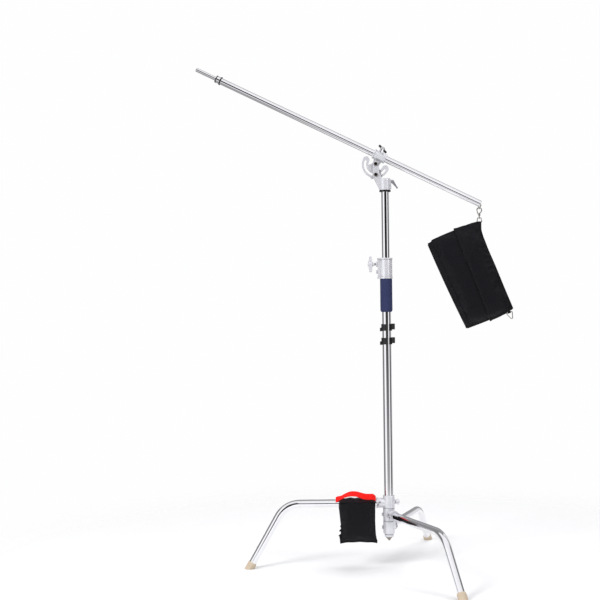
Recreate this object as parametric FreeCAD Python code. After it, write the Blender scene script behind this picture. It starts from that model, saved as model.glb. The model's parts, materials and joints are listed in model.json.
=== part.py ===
import FreeCAD, Part
import math
import os

from FreeCAD import Placement, Rotation, Vector

# C-stand with a boom head, a boom arm and two ballast bags.
# Millimetres, +Z up. The origin is the point on the floor under the column's axis.
# +X points to the boom's low end, and the ballast-bag leg points to -X.

# ---------------------------------------------------------------- driving dimensions
CLEAR = 0.3  # gap between pieces that move on each other

# base
LEG_RADIUS = 15.0
LEG_WALL = 2.0
LEG_BEND = 100.0
LEG_CUT = 10.0  # the tube ends this far short of the floor, along its slope
FOOT_CIRCLE = 555.0
FOOT_RADIUS = 17.5
FOOT_GRIP = 12.0
FOOT_TAPER = 6.0
LEGS = {
    # name: azimuth in degrees, height of the straight run, radius of the corner
    "left": (183.8, 255.5, 410.0),
    "front": (297.6, 209.5, 422.0),
    "back": (72.1, 159.0, 420.0),
}
STOP_TURNS = {"front": -107.6, "back": 118.0}  # the stop bolt's place, from the leg
HUB_RADIUS = 23.0
HUB_HEIGHT = 50.1
TOP_HUB = 260.0  # the middle of the fixed hub
SLEEVE_RADIUS = 19.0
SLEEVE_END = 49.0
SLEEVE_LIP = 6.0
WEB_HALF = 5.0
PINS = ((36.0, 5.0), (44.0, -5.0))  # along the leg, and above its axis
PIN_RADIUS = 2.5
PIN_HEAD = 4.0
STOP_RADIUS = 4.0
STOP_HEAD = 6.5
LOCK_TURN = -8.0  # the hub lock's direction, from the left leg's
LOCK_SCREW = 4.0
LOCK_LOBES = 5
LEG_START = 28.0
CORE_RADIUS = 11.0
CORE_BOTTOM = 122.0
CORE_TOP = 300.0
CAP_HEIGHT = 9.5
TIP_BOTTOM = 105.5
TIP_RADIUS = 12.5
CAP_RADIUS = 20.0
CAP_FLATS = 17.5
WASHER = (18.0, 2.0)  # radius and thickness

# column
COLUMN_RADIUS = 17.5
COLUMN_WALL = 2.0
COLUMN_BOTTOM = 262.0
COLUMN_TOP = 1180.0
GRIP_RADIUS = 24.0
GRIP_BOTTOM = 1011.0
COLLAR_BOTTOM = 1143.3
COLLAR_TOP = 1225.0
COLLAR_RADIUS = 23.0
KNOB_HEIGHT = 1200.8
CLIP_HEIGHT = 26.0
CLIP_LEVELS = {"upper": 937.0, "lower": 883.0}
CLIP_WALL = 4.0
CLAW_REACH = 27.0
CLAW_RADIUS = 8.0
CLAW_TURN = -24.0
BUSH_RADIUS = 19.0
SHOE_RADIUS = 6.0
COLLAR_SCREW = 5.0
COLLAR_RIM = (26.0, 6.0)  # radius and height
COLLAR_HANDLE = (62.0, 11.5)  # span and thickness
COLLAR_HANDLE_AT = -61.7

# riser
RISER_RADIUS = 15.0
RISER_WALL = 2.0
RISER_BOTTOM = 592.0
RISER_TOP = 1532.0

# boom head
SOCKET_RADIUS = 21.5
SOCKET_BOTTOM = 1493.6
SOCKET_TOP = 1540.0
SOCKET_RING_BOTTOM = 1486.8
PIVOT = Vector(-35.5, 0.0, 1597.0)
LOCK_DROP = 42.5
CHEEK_OUTER = 14.5
CHEEK_INNER = 4.6
PLATE_HALF = 4.0
QUADRANT_RADIUS = 55.0
QUADRANT_INNER = 29.0
QUADRANT_REACH = 91.0
SLOT_REACH = 82.0  # degrees each side, to the middle of its round end
BOLT_RADIUS = 4.0
BOLT_HEAD = (6.6, 6.0)  # radius and height
KEY_RADIUS = 3.4
NUT = (8.0, 7.0)  # corner radius and height
PAD = 2.0
LEVER_DROP = 13.0  # the socket lever's axis, below the socket's top
LEVER_SCREW = 4.0
TILT_HANDLE = (46.0, 9.0)  # span and thickness

# boom
BOOM_TILT = 26.5
BOOM_OFFSET = 35.0
BOOM_RADIUS = 13.0
BOOM_WALL = 1.5
BOOM_FRONT = -702.0
BOOM_END = 440.0
BOOM_PLUG_LENGTH = 17.0
CLAMP_HALF = 26.0
CLAMP_RADIUS = 18.0
COLLAR_FRONT = -727.0
SPIGOT_RADIUS = 7.94
SPIGOT_END = -815.0
KNOB_LEAN = 40.0
KNOB_TURN = 145.0
KNOB_BAR = 37.0  # from the boom's axis to the middle of the handle's bar
KNOB_SCREW = 4.0
KNOB_HUB = 9.0
ARM = (3.6, 14.0)  # the handle bar's radius and half length
GRIP = (4.6, 13.5, 9.5)  # a rubber grip's radius, length and start
CLAMP_SHOE = 5.0
CLAMP_LIP = (1.5, 5.0)  # height and width
COLLAR_RINGS = {"front": 15.2, "rear": 17.2}
COLLAR_GROOVE = 11.5

# hanging gear
EYE_RING = 8.0
EYE_WIRE = 2.0
EYE_GAP = 2.0
HOOK_WIRE = 2.2
HOOK_BOW = 9.0
RING_WIRE = 1.8
RING_CORNER = 3.0
BARREL = (4.2, 10.5)  # the hook's swivel barrel, radius and length
BARREL_LOW = -28.0
SWIVEL_RING = 4.6
SWIVEL_SHANK = 1.6
SWIVEL_DROP = -34.3
GATE_RADIUS = 1.8

# counterweight bag
BAG_TILT = 22.5
BAG_CENTRE = Vector(340.6, 0.0, 1150.2)
BAG_TOP_WIDTH = 226.0
BAG_LOW_WIDTH = 198.0
BAG_LENGTH = 362.0
BALLAST_SIZE = (160.0, 46.0, 150.0)
BALLAST_SHIFT = (12.0, -84.0)
# half the bag's depth, at shares of its half length
BAG_BELLY = ((11, 1.0), (27, 0.55), (36, -0.25), (30, -0.8), (20, -1.0))
TOP_RING = (6.0, 10.0, 18.0)  # half widths at the top and bottom, and drop
LOW_RING = (12.5, 3.0, 26.0)
LOW_RING_INSET = 25.0  # from the bag's lower corner
TOP_TAB = (7.5, 5.0)  # half width and half thickness
LOW_TAB = (6.5, 4.0)

# saddle bag on the left leg
SADDLE_START = 51.0
SADDLE_END = 196.0
SADDLE_LOW = 103.0
POUCH_THICK = 34.0
POUCH_ROUND = 12.0
SAND_INSET = 10.0
SAND_SKIN = 7.0
YOKE_DEPTH = 2.5
STRAP = (9.0, 2.2)  # half width and half thickness
STRAP_RISE = 17.0

X = Vector(1, 0, 0)
Y = Vector(0, 1, 0)
Z = Vector(0, 0, 1)
nodes = {}


# ---------------------------------------------------------------- helpers
def rod(base, axis, radius, length):
    """A solid cylinder that starts at base and runs along axis."""
    return Part.makeCylinder(radius, length, base, axis)


def pipe(base, axis, outer, inner, length):
    """A straight tube."""
    return rod(base, axis, outer, length).cut(rod(base, axis, inner, length))


def upright(radius, low, high):
    """A solid cylinder on the column's axis."""
    return rod(Vector(0, 0, low), Z, radius, high - low)


def block(x, y, z):
    """A box given by its lowest and highest value on each axis."""
    low = Vector(x[0], y[0], z[0])
    return Part.makeBox(x[1] - x[0], y[1] - y[0], z[1] - z[0], low)


def prism(points, half, centre=0.0):
    """An XZ outline, thick along Y by half on each side of centre."""
    corners = [Vector(x, centre - half, z) for x, z in points]
    face = Part.Face(Part.makePolygon(corners + corners[:1]))
    return face.extrude(Vector(0, 2 * half, 0))


def profile(points):
    """A solid of revolution about Z from (radius, height) points."""
    corners = [Vector(r, 0, z) for r, z in points]
    face = Part.Face(Part.makePolygon(corners + corners[:1]))
    return face.revolve(Vector(0, 0, 0), Z, 360)


def rounded_path(points, radii, closed=False):
    """Straight runs joined by tangent arcs; radii has one value per inner corner."""
    count = len(points)
    corners = range(count) if closed else range(1, count - 1)
    arcs = {}
    for index, radius in zip(corners, radii):
        here = points[index]
        back = (points[index - 1] - here).normalize()
        ahead = (points[(index + 1) % count] - here).normalize()
        half = back.getAngle(ahead) / 2
        reach = radius / math.tan(half)
        bisector = (back + ahead).normalize()
        middle = here + bisector * (radius / math.sin(half) - radius)
        arcs[index] = (here + back * reach, middle, here + ahead * reach)
    edges = []
    start = arcs[0][2] if closed else points[0]
    for index in list(corners)[1:] + [0] if closed else corners:
        first, middle, last = arcs[index]
        edges.append(Part.makeLine(start, first))
        edges.append(Part.Arc(first, middle, last).toShape())
        start = last
    if not closed:
        edges.append(Part.makeLine(start, points[-1]))
    return Part.Wire(edges)


def sweep(path, radius, plane_normal):
    """A round wire swept along a flat path."""
    first = path.Edges[0]
    start = first.valueAt(first.FirstParameter)
    direction = first.tangentAt(first.FirstParameter)
    section = Part.Wire(Part.makeCircle(radius, start, direction))
    maker = Part.BRepOffsetAPI.MakePipeShell(path)
    maker.setBiNormalMode(plane_normal)
    maker.add(section)
    maker.build()
    maker.makeSolid()
    return maker.shape()


def hexagon(base, radius, length):
    """A six-sided bar that starts at base and runs along +Y; radius reaches its corners."""
    angles = [math.radians(60 * step) for step in range(7)]
    corners = [base + Vector(radius * math.cos(a), 0, radius * math.sin(a)) for a in angles]
    return Part.Face(Part.makePolygon(corners)).extrude(Y * length)


def turned(shape, axis, angle, centre=Vector(0, 0, 0)):
    """A copy of the shape turned about an axis through centre."""
    copy = shape.copy()
    copy.rotate(centre, axis, angle)
    return copy


def hollow(shape, *tools):
    """Cut several tools out of a shape."""
    for tool in tools:
        shape = shape.cut(tool)
    return shape


def joined(first, *others):
    """Fuse shapes into one solid with merged faces."""
    for other in others:
        first = first.fuse(other)
    return first.removeSplitter()


def on_boom(shape):
    """Move a shape from the boom's frame, X along the boom, to its place."""
    copy = shape.copy()
    foot = PIVOT + Vector(BOOM_UP.x, 0, BOOM_UP.z) * BOOM_OFFSET
    copy.Placement = Placement(foot, Rotation(Y, BOOM_TILT)).multiply(copy.Placement)
    return copy


tilt = math.radians(BOOM_TILT)
BOOM_UP = Vector(math.sin(tilt), 0, math.cos(tilt))
BOOM_ALONG = Vector(math.cos(tilt), 0, -math.sin(tilt))


# ---------------------------------------------------------------- base
def leg_set(name):
    """One leg's hub casting, tube, fasteners and foot, built along +X and turned."""
    azimuth, height, corner = LEGS[name]
    fixed = name == "left"
    axis_point = Vector(0, 0, height)
    slope = Vector(FOOT_CIRCLE - corner, 0, -height).normalize()
    foot_point = Vector(FOOT_CIRCLE, 0, 0)

    def skin(radius, end):
        route = [Vector(LEG_START, 0, height), Vector(corner, 0, height), end]
        return sweep(rounded_path(route, [LEG_BEND]), radius, Y)

    tube_end = foot_point - slope * LEG_CUT
    tube = skin(LEG_RADIUS, tube_end).cut(skin(LEG_RADIUS - LEG_WALL, tube_end))

    low = (TOP_HUB if fixed else height) - HUB_HEIGHT / 2
    ring = upright(HUB_RADIUS, low, low + HUB_HEIGHT)
    ring = ring.makeChamfer(2.0, ring.Edges)
    sleeve = rod(axis_point, X, SLEEVE_RADIUS, SLEEVE_END)
    lip_start = axis_point + X * (SLEEVE_END - SLEEVE_LIP)
    sleeve = sleeve.fuse(rod(lip_start, X, SLEEVE_RADIUS + 1.5, SLEEVE_LIP))
    web_end = SLEEVE_END - 8
    web = prism([(10, low + 4), (web_end, height - 12), (web_end, height), (10, height)], WEB_HALF)
    bore = CORE_RADIUS if fixed else CORE_RADIUS + CLEAR
    hub = hollow(
        joined(ring, sleeve, web),
        upright(bore, low - 1, low + HUB_HEIGHT + 1),
        rod(Vector(LEG_START, 0, height), X, LEG_RADIUS, SLEEVE_END),
    )

    pins = []
    for along, above in PINS:
        base = Vector(along, -SLEEVE_RADIUS - 1.0, height + above)
        shank = rod(base, Y, PIN_RADIUS, 2 * SLEEVE_RADIUS + 2.0)
        heads = [
            Part.makeCone(PIN_RADIUS, PIN_HEAD, 2.0, base - Y * 1.5, Y),
            Part.makeCone(PIN_HEAD, PIN_RADIUS, 2.0, base + Y * (2 * SLEEVE_RADIUS + 1.5), Y),
        ]
        pins.append(joined(shank, *heads))
    fasteners = pins
    if name in STOP_TURNS:
        stop = joined(
            rod(Vector(HUB_RADIUS - 4, 0, height), X, STOP_RADIUS, 8.0),
            rod(Vector(HUB_RADIUS, 0, height), X, STOP_HEAD, 5.0),
        )
        fasteners.append(turned(stop, Z, STOP_TURNS[name]))
    for piece in fasteners:
        tube = tube.cut(piece)
        hub = hub.cut(piece)

    cap_start = foot_point - slope * (LEG_CUT + FOOT_GRIP)
    cap = rod(cap_start, slope, FOOT_RADIUS, 90.0)
    cone_start = cap_start - slope * FOOT_TAPER
    cap = cap.fuse(Part.makeCone(LEG_RADIUS + 0.6, FOOT_RADIUS, FOOT_TAPER, cone_start, slope))
    cap = cap.cut(rod(cap_start - slope * 10.0, slope, LEG_RADIUS, FOOT_GRIP + 10.0))
    cap = cap.common(block((300, 700), (-60, 60), (0, 200)))

    if fixed:
        hub = hub.cut(upright(COLUMN_RADIUS, COLUMN_BOTTOM, low + HUB_HEIGHT + 1))
    pieces = {
        "hub_" + name: hub,
        "leg_" + name: tube,
        "leg_fasteners_" + name: Part.makeCompound(fasteners),
        "foot_" + name: cap.removeSplitter(),
    }
    for key, shape in pieces.items():
        nodes[key] = turned(shape, Z, azimuth)


def hub_lock():
    """The lobed knob and screw in the side of the top hub."""
    height = TOP_HUB
    screw = rod(Vector(17.8, 0, height), X, LOCK_SCREW, 14.2)
    knob = rod(Vector(31.0, 0, height), X, 8.5, 9.0)
    for step in range(LOCK_LOBES):
        lobe = rod(Vector(31.0, 0, height + 8.0), X, 3.2, 9.0)
        knob = knob.fuse(turned(lobe, X, step * 360 / LOCK_LOBES, Vector(0, 0, height)))
    crown = Part.makeCone(6.0, 4.0, 2.5, Vector(40.0, 0, height), X)
    knob = joined(knob, crown, rod(Vector(27.5, 0, height), X, 5.5, 4.0))
    boss = rod(Vector(16.5, 0, height), X, 8.0, 10.5).cut(upright(COLUMN_RADIUS, 200, 300))
    hole = rod(Vector(10.0, 0, height), X, LOCK_SCREW + CLEAR, 20.0)
    hub = nodes["hub_left"].fuse(turned(boss, Z, LOCK_TURN)).cut(turned(hole, Z, LOCK_TURN))
    nodes["hub_left"] = hub.removeSplitter()
    nodes["hub_lock_knob"] = turned(joined(knob, screw), Z, LOCK_TURN)


def base_stack():
    """The core that carries the hubs, its cap and washer, and the steel point."""
    core = upright(CORE_RADIUS, CORE_BOTTOM, COLUMN_BOTTOM)
    plug = upright(COLUMN_RADIUS - COLUMN_WALL, COLUMN_BOTTOM, CORE_TOP)
    knob_seat = turned(rod(Vector(8, 0, TOP_HUB), X, LOCK_SCREW + 0.6, 20.0), Z, LOCK_TURN)
    nodes["base_core"] = joined(core, plug).cut(knob_seat)
    cap_top = CORE_BOTTOM + CAP_HEIGHT
    cap = upright(CAP_RADIUS, CORE_BOTTOM, cap_top)
    cap = cap.makeChamfer(2.0, [e for e in cap.Edges if len(e.Vertexes) == 1])
    flats = block((-CAP_FLATS, CAP_FLATS), (-30, 30), (CORE_BOTTOM - 1, cap_top + 1))
    nodes["base_cap"] = cap.common(flats).cut(upright(CORE_RADIUS, CORE_BOTTOM, cap_top))
    radius, thick = WASHER
    washer = upright(radius, cap_top, cap_top + thick)
    nodes["hub_washer"] = washer.cut(upright(CORE_RADIUS, cap_top, cap_top + thick))
    nodes["base_tip"] = profile(
        [
            (0, CORE_BOTTOM),
            (TIP_RADIUS, CORE_BOTTOM),
            (TIP_RADIUS, CORE_BOTTOM - 4.5),
            (TIP_RADIUS - 2.5, CORE_BOTTOM - 6.0),
            (2.0, TIP_BOTTOM),
            (0, TIP_BOTTOM),
        ]
    )


# ---------------------------------------------------------------- column
def column():
    """The chrome column and its foam grip."""
    inner = COLUMN_RADIUS - COLUMN_WALL
    length = COLUMN_TOP - COLUMN_BOTTOM
    nodes["column_tube"] = pipe(Vector(0, 0, COLUMN_BOTTOM), Z, COLUMN_RADIUS, inner, length)
    bevel = 5.0
    nodes["grip_sleeve"] = profile(
        [
            (COLUMN_RADIUS, GRIP_BOTTOM),
            (GRIP_RADIUS - bevel + 1, GRIP_BOTTOM),
            (GRIP_RADIUS, GRIP_BOTTOM + bevel),
            (GRIP_RADIUS, COLLAR_BOTTOM - 1.5),
            (GRIP_RADIUS - 1.5, COLLAR_BOTTOM),
            (COLUMN_RADIUS, COLLAR_BOTTOM),
        ]
    )


def cable_clip(low):
    """A split ring on the column with a claw for a cable and a finger tab."""
    high = low + CLIP_HEIGHT
    ring = upright(COLUMN_RADIUS + CLIP_WALL, low, high)
    claw_turn = math.radians(CLAW_TURN)
    claw_at = Vector(CLAW_REACH * math.cos(claw_turn), CLAW_REACH * math.sin(claw_turn), 0)
    claw = rod(claw_at + Z * (low + 5.0), Z, CLAW_RADIUS, CLIP_HEIGHT - 3.0)
    tab = block((-27.0, -18.0), (-6.0, 6.0), (low - 2.0, low + 12.0))
    tab = tab.makeFillet(1.5, [e for e in tab.Edges if e.BoundBox.XMax < -26])
    shape = joined(ring, claw, tab)
    mouth = turned(block((0, 40), (-6.5, 6.5), (low - 5, high + 5)), Z, -72)
    jaw = rod(claw_at + Z * (low - 5), Z, 4.6, 60.0)
    gape = turned(block((0, 20), (-3.2, 3.2), (low - 5, high + 8)), Z, -10)
    gape.translate(claw_at)
    return hollow(shape, upright(COLUMN_RADIUS, low - 5, high + 5), mouth, jaw, gape)


def lock_collar():
    """The casting that guides and clamps the riser, with its bush."""
    top = COLLAR_TOP
    body = upright(COLLAR_RADIUS, COLLAR_BOTTOM, top)
    cheek = block((-33.0, 0.0), (-13.0, 13.0), (COLLAR_BOTTOM, top))
    body = body.fuse(cheek)
    rib = block((0.0, 24.5), (-5.0, 5.0), (COLLAR_BOTTOM, top))
    body = body.fuse(rib)
    rim_radius, rim_height = COLLAR_RIM
    for low in (COLLAR_BOTTOM, top - rim_height):
        rim = upright(rim_radius, low, low + rim_height)
        lip = block((-35.0, 0.0), (-16.0, 16.0), (low, low + rim_height))
        body = body.fuse(joined(rim, lip))
    boss = rod(Vector(-30.0, 0, KNOB_HEIGHT), X * -1, 10.0, 9.0)
    lug = rod(Vector(-30.0, 0, 1170.0), X * -1, 7.0, 9.0)
    lug = lug.makeFillet(2.0, [e for e in lug.Edges if e.BoundBox.XMax < -38.9])
    body = joined(body, boss, lug)
    bush_top = top - 4.0
    bush_space = upright(BUSH_RADIUS, COLUMN_TOP, bush_top)
    shoe_space = rod(Vector(-25.0, 0, KNOB_HEIGHT), X, SHOE_RADIUS + CLEAR, 15.0)
    riser_space = upright(RISER_RADIUS + CLEAR, COLUMN_TOP, top)
    nodes["lock_collar"] = hollow(
        body,
        upright(COLUMN_RADIUS, COLLAR_BOTTOM - 1, COLUMN_TOP),
        bush_space,
        upright(RISER_RADIUS + 2 * CLEAR, bush_top - 1.0, top + 1),
        rod(Vector(-60, 0, KNOB_HEIGHT), X, COLLAR_SCREW + CLEAR, 50.0),
        shoe_space,
    )
    nodes["collar_bush"] = hollow(bush_space, riser_space, shoe_space)
    shoe = rod(Vector(-21.0, 0, KNOB_HEIGHT), X, SHOE_RADIUS, 12.0)
    nodes["collar_shoe"] = shoe.cut(riser_space)


def t_handle(span, thick):
    """A cast T handle about +X at the origin: hub, two tapered wings, rounded tips."""
    tip = thick / 2
    half = span / 2 - tip
    wing = prism([(-thick * 0.75, 0), (-tip - 1.0, half), (tip - 1.0, half), (thick * 0.75, 0)], tip)
    wing = joined(wing, rod(Vector(-1.0, -tip, half), Y, tip, 2 * tip))
    other = turned(wing, X, 180)
    hub = rod(Vector(-thick * 0.85, 0, 0), X, thick * 0.78, thick * 1.7)
    hub = hub.makeChamfer(1.5, [e for e in hub.Edges if len(e.Vertexes) == 1])
    return joined(hub, wing, other)


def collar_knob():
    """The collar's T handle and the screw that pushes the shoe."""
    centre = Vector(COLLAR_HANDLE_AT, 0, KNOB_HEIGHT)
    handle = turned(t_handle(*COLLAR_HANDLE), X, 8.0)
    handle = turned(handle, Z, 180)
    handle.translate(centre)
    screw = rod(Vector(-21.0 - CLEAR, 0, KNOB_HEIGHT), X * -1, COLLAR_SCREW, 46.0)
    neck = Part.makeCone(9.0, 6.5, 6.0, Vector(-52.0, 0, KNOB_HEIGHT), X)
    handle = joined(handle, neck)
    nodes["collar_handle"] = handle.cut(screw)
    nodes["collar_screw"] = screw


# ---------------------------------------------------------------- riser
def riser():
    """The sliding tube with its guide foot and top plug."""
    inner = RISER_RADIUS - RISER_WALL
    length = RISER_TOP - RISER_BOTTOM
    nodes["riser_tube"] = pipe(Vector(0, 0, RISER_BOTTOM), Z, RISER_RADIUS, inner, length)
    nodes["riser_foot"] = joined(
        upright(COLUMN_RADIUS - COLUMN_WALL - CLEAR, RISER_BOTTOM - 14.0, RISER_BOTTOM),
        upright(inner, RISER_BOTTOM, RISER_BOTTOM + 25.0),
    )
    nodes["riser_plug"] = upright(inner, RISER_TOP - 60.0, RISER_TOP)


# ---------------------------------------------------------------- boom head
def head_socket():
    """The forked casting: a cup on the riser and two cheeks for the quadrant."""
    lock = PIVOT - Z * LOCK_DROP
    outline = [
        (-24.0, PIVOT.z),
        (-21.5, lock.z + 8.0),
        (-12.0, SOCKET_TOP),
        (0.0, SOCKET_TOP),
        (0.0, SOCKET_BOTTOM + 1.0),
        (-21.0, SOCKET_BOTTOM + 1.0),
        (-46.0, lock.z - 9.5),
        (-49.0, lock.z + 1.0),
        (-47.0, PIVOT.z),
    ]
    body = prism(outline, CHEEK_OUTER)
    for centre, radius in ((PIVOT, 11.5), (lock, 13.5)):
        body = body.fuse(rod(centre - Y * CHEEK_OUTER, Y, radius, 2 * CHEEK_OUTER))
    gap = rod(PIVOT - Y * CHEEK_INNER, Y, QUADRANT_RADIUS + 1.5, 2 * CHEEK_INNER)
    body = body.cut(gap)
    for centre in (PIVOT, lock):
        pad = rod(centre - Y * (CHEEK_OUTER + PAD), Y, 8.5, PAD + 0.5)
        body = body.fuse(pad)
    cup = upright(SOCKET_RADIUS, SOCKET_BOTTOM, SOCKET_TOP)
    cup = cup.makeChamfer(2.0, [e for e in cup.Edges if e.BoundBox.ZMin > SOCKET_TOP - 1])
    cup = cup.cut(gap)
    ear = block((16.0, 25.0), (-8.0, 8.0), (SOCKET_BOTTOM + 4.0, SOCKET_TOP - 5.0))
    body = joined(body, cup, ear)
    lever_at = Vector(10.0, 0, SOCKET_TOP - LEVER_DROP)
    nodes["head_socket"] = hollow(
        body,
        upright(RISER_RADIUS + CLEAR, SOCKET_BOTTOM - 1, RISER_TOP + 1.0),
        rod(lever_at, X, LEVER_SCREW + CLEAR, 30.0),
        rod(PIVOT - Y * 30, Y, BOLT_RADIUS, 60.0),
        rod(lock - Y * 30, Y, BOLT_RADIUS, 60.0),
    )
    ring = upright(SOCKET_RADIUS + 1.0, SOCKET_RING_BOTTOM, SOCKET_BOTTOM)
    ring = ring.makeFillet(1.2, [e for e in ring.Edges if len(e.Vertexes) == 1])
    nodes["socket_ring"] = ring.cut(upright(RISER_RADIUS + CLEAR, SOCKET_RING_BOTTOM - 1, SOCKET_TOP))


def socket_lever():
    """The clamp lever that holds the head on the riser."""
    height = SOCKET_TOP - LEVER_DROP
    screw = rod(Vector(RISER_RADIUS + 2 * CLEAR, 0, height), X, LEVER_SCREW, 13.5)
    hub = rod(Vector(25.0 + CLEAR, 0, height), X, 7.0, 9.0)
    hub = hub.makeChamfer(1.2, [e for e in hub.Edges if len(e.Vertexes) == 1])
    arm_outline = [(27.0, 5.5), (33.5, 5.5), (49.5, -23.5), (46.0, -26.0), (27.0, -5.0)]
    arm = prism([(x, height + z) for x, z in arm_outline], 4.0)
    tip = rod(Vector(47.5, -4.0, height - 24.5), Y, 3.4, 8.0)
    nodes["socket_lever"] = joined(hub, arm, tip, screw)


def head_bolts():
    """Pivot bolt, lock bolt, their nuts and the rear locking handle."""
    lock = PIVOT - Z * LOCK_DROP
    front = CHEEK_OUTER + PAD
    head_radius, head_height = BOLT_HEAD
    bolts = []
    for centre in (PIVOT, lock):
        shank = rod(centre - Y * front, Y, BOLT_RADIUS, front + CHEEK_OUTER + 12.0)
        head = rod(centre - Y * (front + head_height), Y, head_radius, head_height)
        rim = [e for e in head.Edges if e.BoundBox.YMax < -front - head_height + 0.1]
        head = head.makeFillet(1.0, rim)
        socket = hexagon(centre - Y * (front + head_height + 0.1), KEY_RADIUS, 4.0)
        bolts.append(joined(shank, head).cut(socket))
    nodes["head_bolts"] = Part.makeCompound(bolts)
    nut_at = PIVOT + Y * CHEEK_OUTER
    nut = hexagon(nut_at, *NUT)
    nodes["pivot_nut"] = nut.cut(rod(nut_at, Y, BOLT_RADIUS, 10.0))
    handle = turned(t_handle(*TILT_HANDLE), Z, 90)
    handle = turned(handle, Y, 63.0)
    handle.translate(lock + Y * (CHEEK_OUTER + 9.5))
    boss = rod(lock + Y * (CHEEK_OUTER + CLEAR), Y, 6.5, 3.0)
    nodes["tilt_handle"] = joined(handle, boss).cut(rod(lock, Y, BOLT_RADIUS + CLEAR, 32.0))
    washers = []
    for side in (-1, 1):
        base = PIVOT + Y * (side * CHEEK_INNER)
        washers.append(pipe(base, Y * -side, 10.0, BOLT_RADIUS, CHEEK_INNER - PLATE_HALF - CLEAR))
    nodes["pivot_washers"] = Part.makeCompound(washers)


def arc_plate(inner, outer, reach):
    """A flat ring sector about the pivot in the boom's frame, centred on -Z."""
    centre = Vector(0, 0, -BOOM_OFFSET)
    base = centre - Y * PLATE_HALF
    ring = pipe(base, Y, outer, inner, 2 * PLATE_HALF)
    far = 3 * outer
    edge = math.radians(reach)
    side = Vector(math.sin(edge), 0, -math.cos(edge))
    wedge = prism(
        [
            (0.0, -BOOM_OFFSET),
            (far * side.x, -BOOM_OFFSET + far * side.z),
            (far, far),
            (0.0, far),
            (-far, far),
            (-far * side.x, -BOOM_OFFSET + far * side.z),
        ],
        2 * PLATE_HALF,
    )
    sector = ring.cut(wedge)
    middle = (inner + outer) / 2
    for sign in (-1, 1):
        end = centre + Vector(sign * middle * math.sin(edge), 0, -middle * math.cos(edge))
        sector = sector.fuse(rod(end - Y * PLATE_HALF, Y, (outer - inner) / 2, 2 * PLATE_HALF))
    return sector.removeSplitter()


def knob_axis():
    """The boom handle's axis in the boom's frame: up, leaning to the front."""
    lean = math.radians(KNOB_LEAN)
    return Vector(0, -math.sin(lean), math.cos(lean))


def boom_clamp():
    """The slotted quadrant and the sleeve that grips the boom."""
    centre = Vector(0, 0, -BOOM_OFFSET)
    plate = arc_plate(QUADRANT_INNER, QUADRANT_RADIUS, QUADRANT_REACH)
    web_reach = math.radians(58.0)
    far = QUADRANT_INNER + 3.0
    web = prism(
        [
            (0.0, -BOOM_OFFSET + 12.0),
            (-far * math.sin(web_reach), -BOOM_OFFSET - far * math.cos(web_reach)),
            (0.0, -BOOM_OFFSET - far),
            (far * math.sin(web_reach), -BOOM_OFFSET - far * math.cos(web_reach)),
        ],
        PLATE_HALF,
    )
    hub = rod(centre - Y * PLATE_HALF, Y, 14.0, 2 * PLATE_HALF)
    neck = prism([(-13, -30), (13, -30), (20, -12), (-20, -12)], PLATE_HALF)
    body = joined(plate, web, hub, neck)
    slot_half = BOLT_RADIUS + 2 * CLEAR
    slot = arc_plate(LOCK_DROP - slot_half, LOCK_DROP + slot_half, SLOT_REACH)
    slot = slot.fuse(slot.translated(Y * 2)).fuse(slot.translated(Y * -2))
    body = hollow(body, slot, rod(centre - Y * 9, Y, BOLT_RADIUS + CLEAR, 18.0))
    sleeve = rod(X * -CLAMP_HALF, X, CLAMP_RADIUS, 2 * CLAMP_HALF)
    lip, width = CLAMP_LIP
    for start in (-CLAMP_HALF, CLAMP_HALF - width):
        sleeve = sleeve.fuse(rod(X * start, X, CLAMP_RADIUS + lip, width))
    axis = knob_axis()
    boss = rod(axis * 12.0, axis, 8.5, 12.0)
    body = joined(body, sleeve, boss)
    nodes["boom_clamp"] = on_boom(
        hollow(
            body,
            rod(X * -40, X, BOOM_RADIUS + 2 * CLEAR, 80.0),
            rod(axis * 10.0, axis, KNOB_SCREW + CLEAR, 20.0),
            rod(axis * 10.0, axis, CLAMP_SHOE + CLEAR, 9.5),
        )
    )
    shoe = rod(axis * 11.0, axis, CLAMP_SHOE, 5.0)
    nodes["clamp_shoe"] = on_boom(shoe.cut(rod(X * -40, X, BOOM_RADIUS + CLEAR, 80.0)))


def boom_handle():
    """The boom clamp's screw, chrome hub and two rubber grips."""
    axis = knob_axis()
    place = Placement(Vector(0, 0, 0), Rotation(Z, axis).multiply(Rotation(Z, KNOB_TURN)))
    screw = rod(Z * (16.0 + CLEAR), Z, KNOB_SCREW, KNOB_BAR - 14.0)
    hub = rod(Z * (24.0 + CLEAR), Z, KNOB_HUB, KNOB_BAR - 18.0)
    hub = hub.makeChamfer(1.5, [e for e in hub.Edges if len(e.Vertexes) == 1])
    arm_radius, arm_half = ARM
    arm = rod(Vector(-arm_half, 0, KNOB_BAR), X, arm_radius, 2 * arm_half)
    radius, length, start = GRIP
    grips = []
    for sign in (-1, 1):
        grip = rod(Vector(sign * start, 0, KNOB_BAR), X * sign, radius, length)
        grip = grip.makeFillet(1.6, [e for e in grip.Edges if len(e.Vertexes) == 1])
        grips.append(grip.cut(arm))
    pieces = {
        "boom_handle_hub": joined(hub, arm, screw),
        "boom_handle_grips": Part.makeCompound(grips),
    }
    for key, shape in pieces.items():
        shape.Placement = place.multiply(shape.Placement)
        nodes[key] = on_boom(shape)


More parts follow.
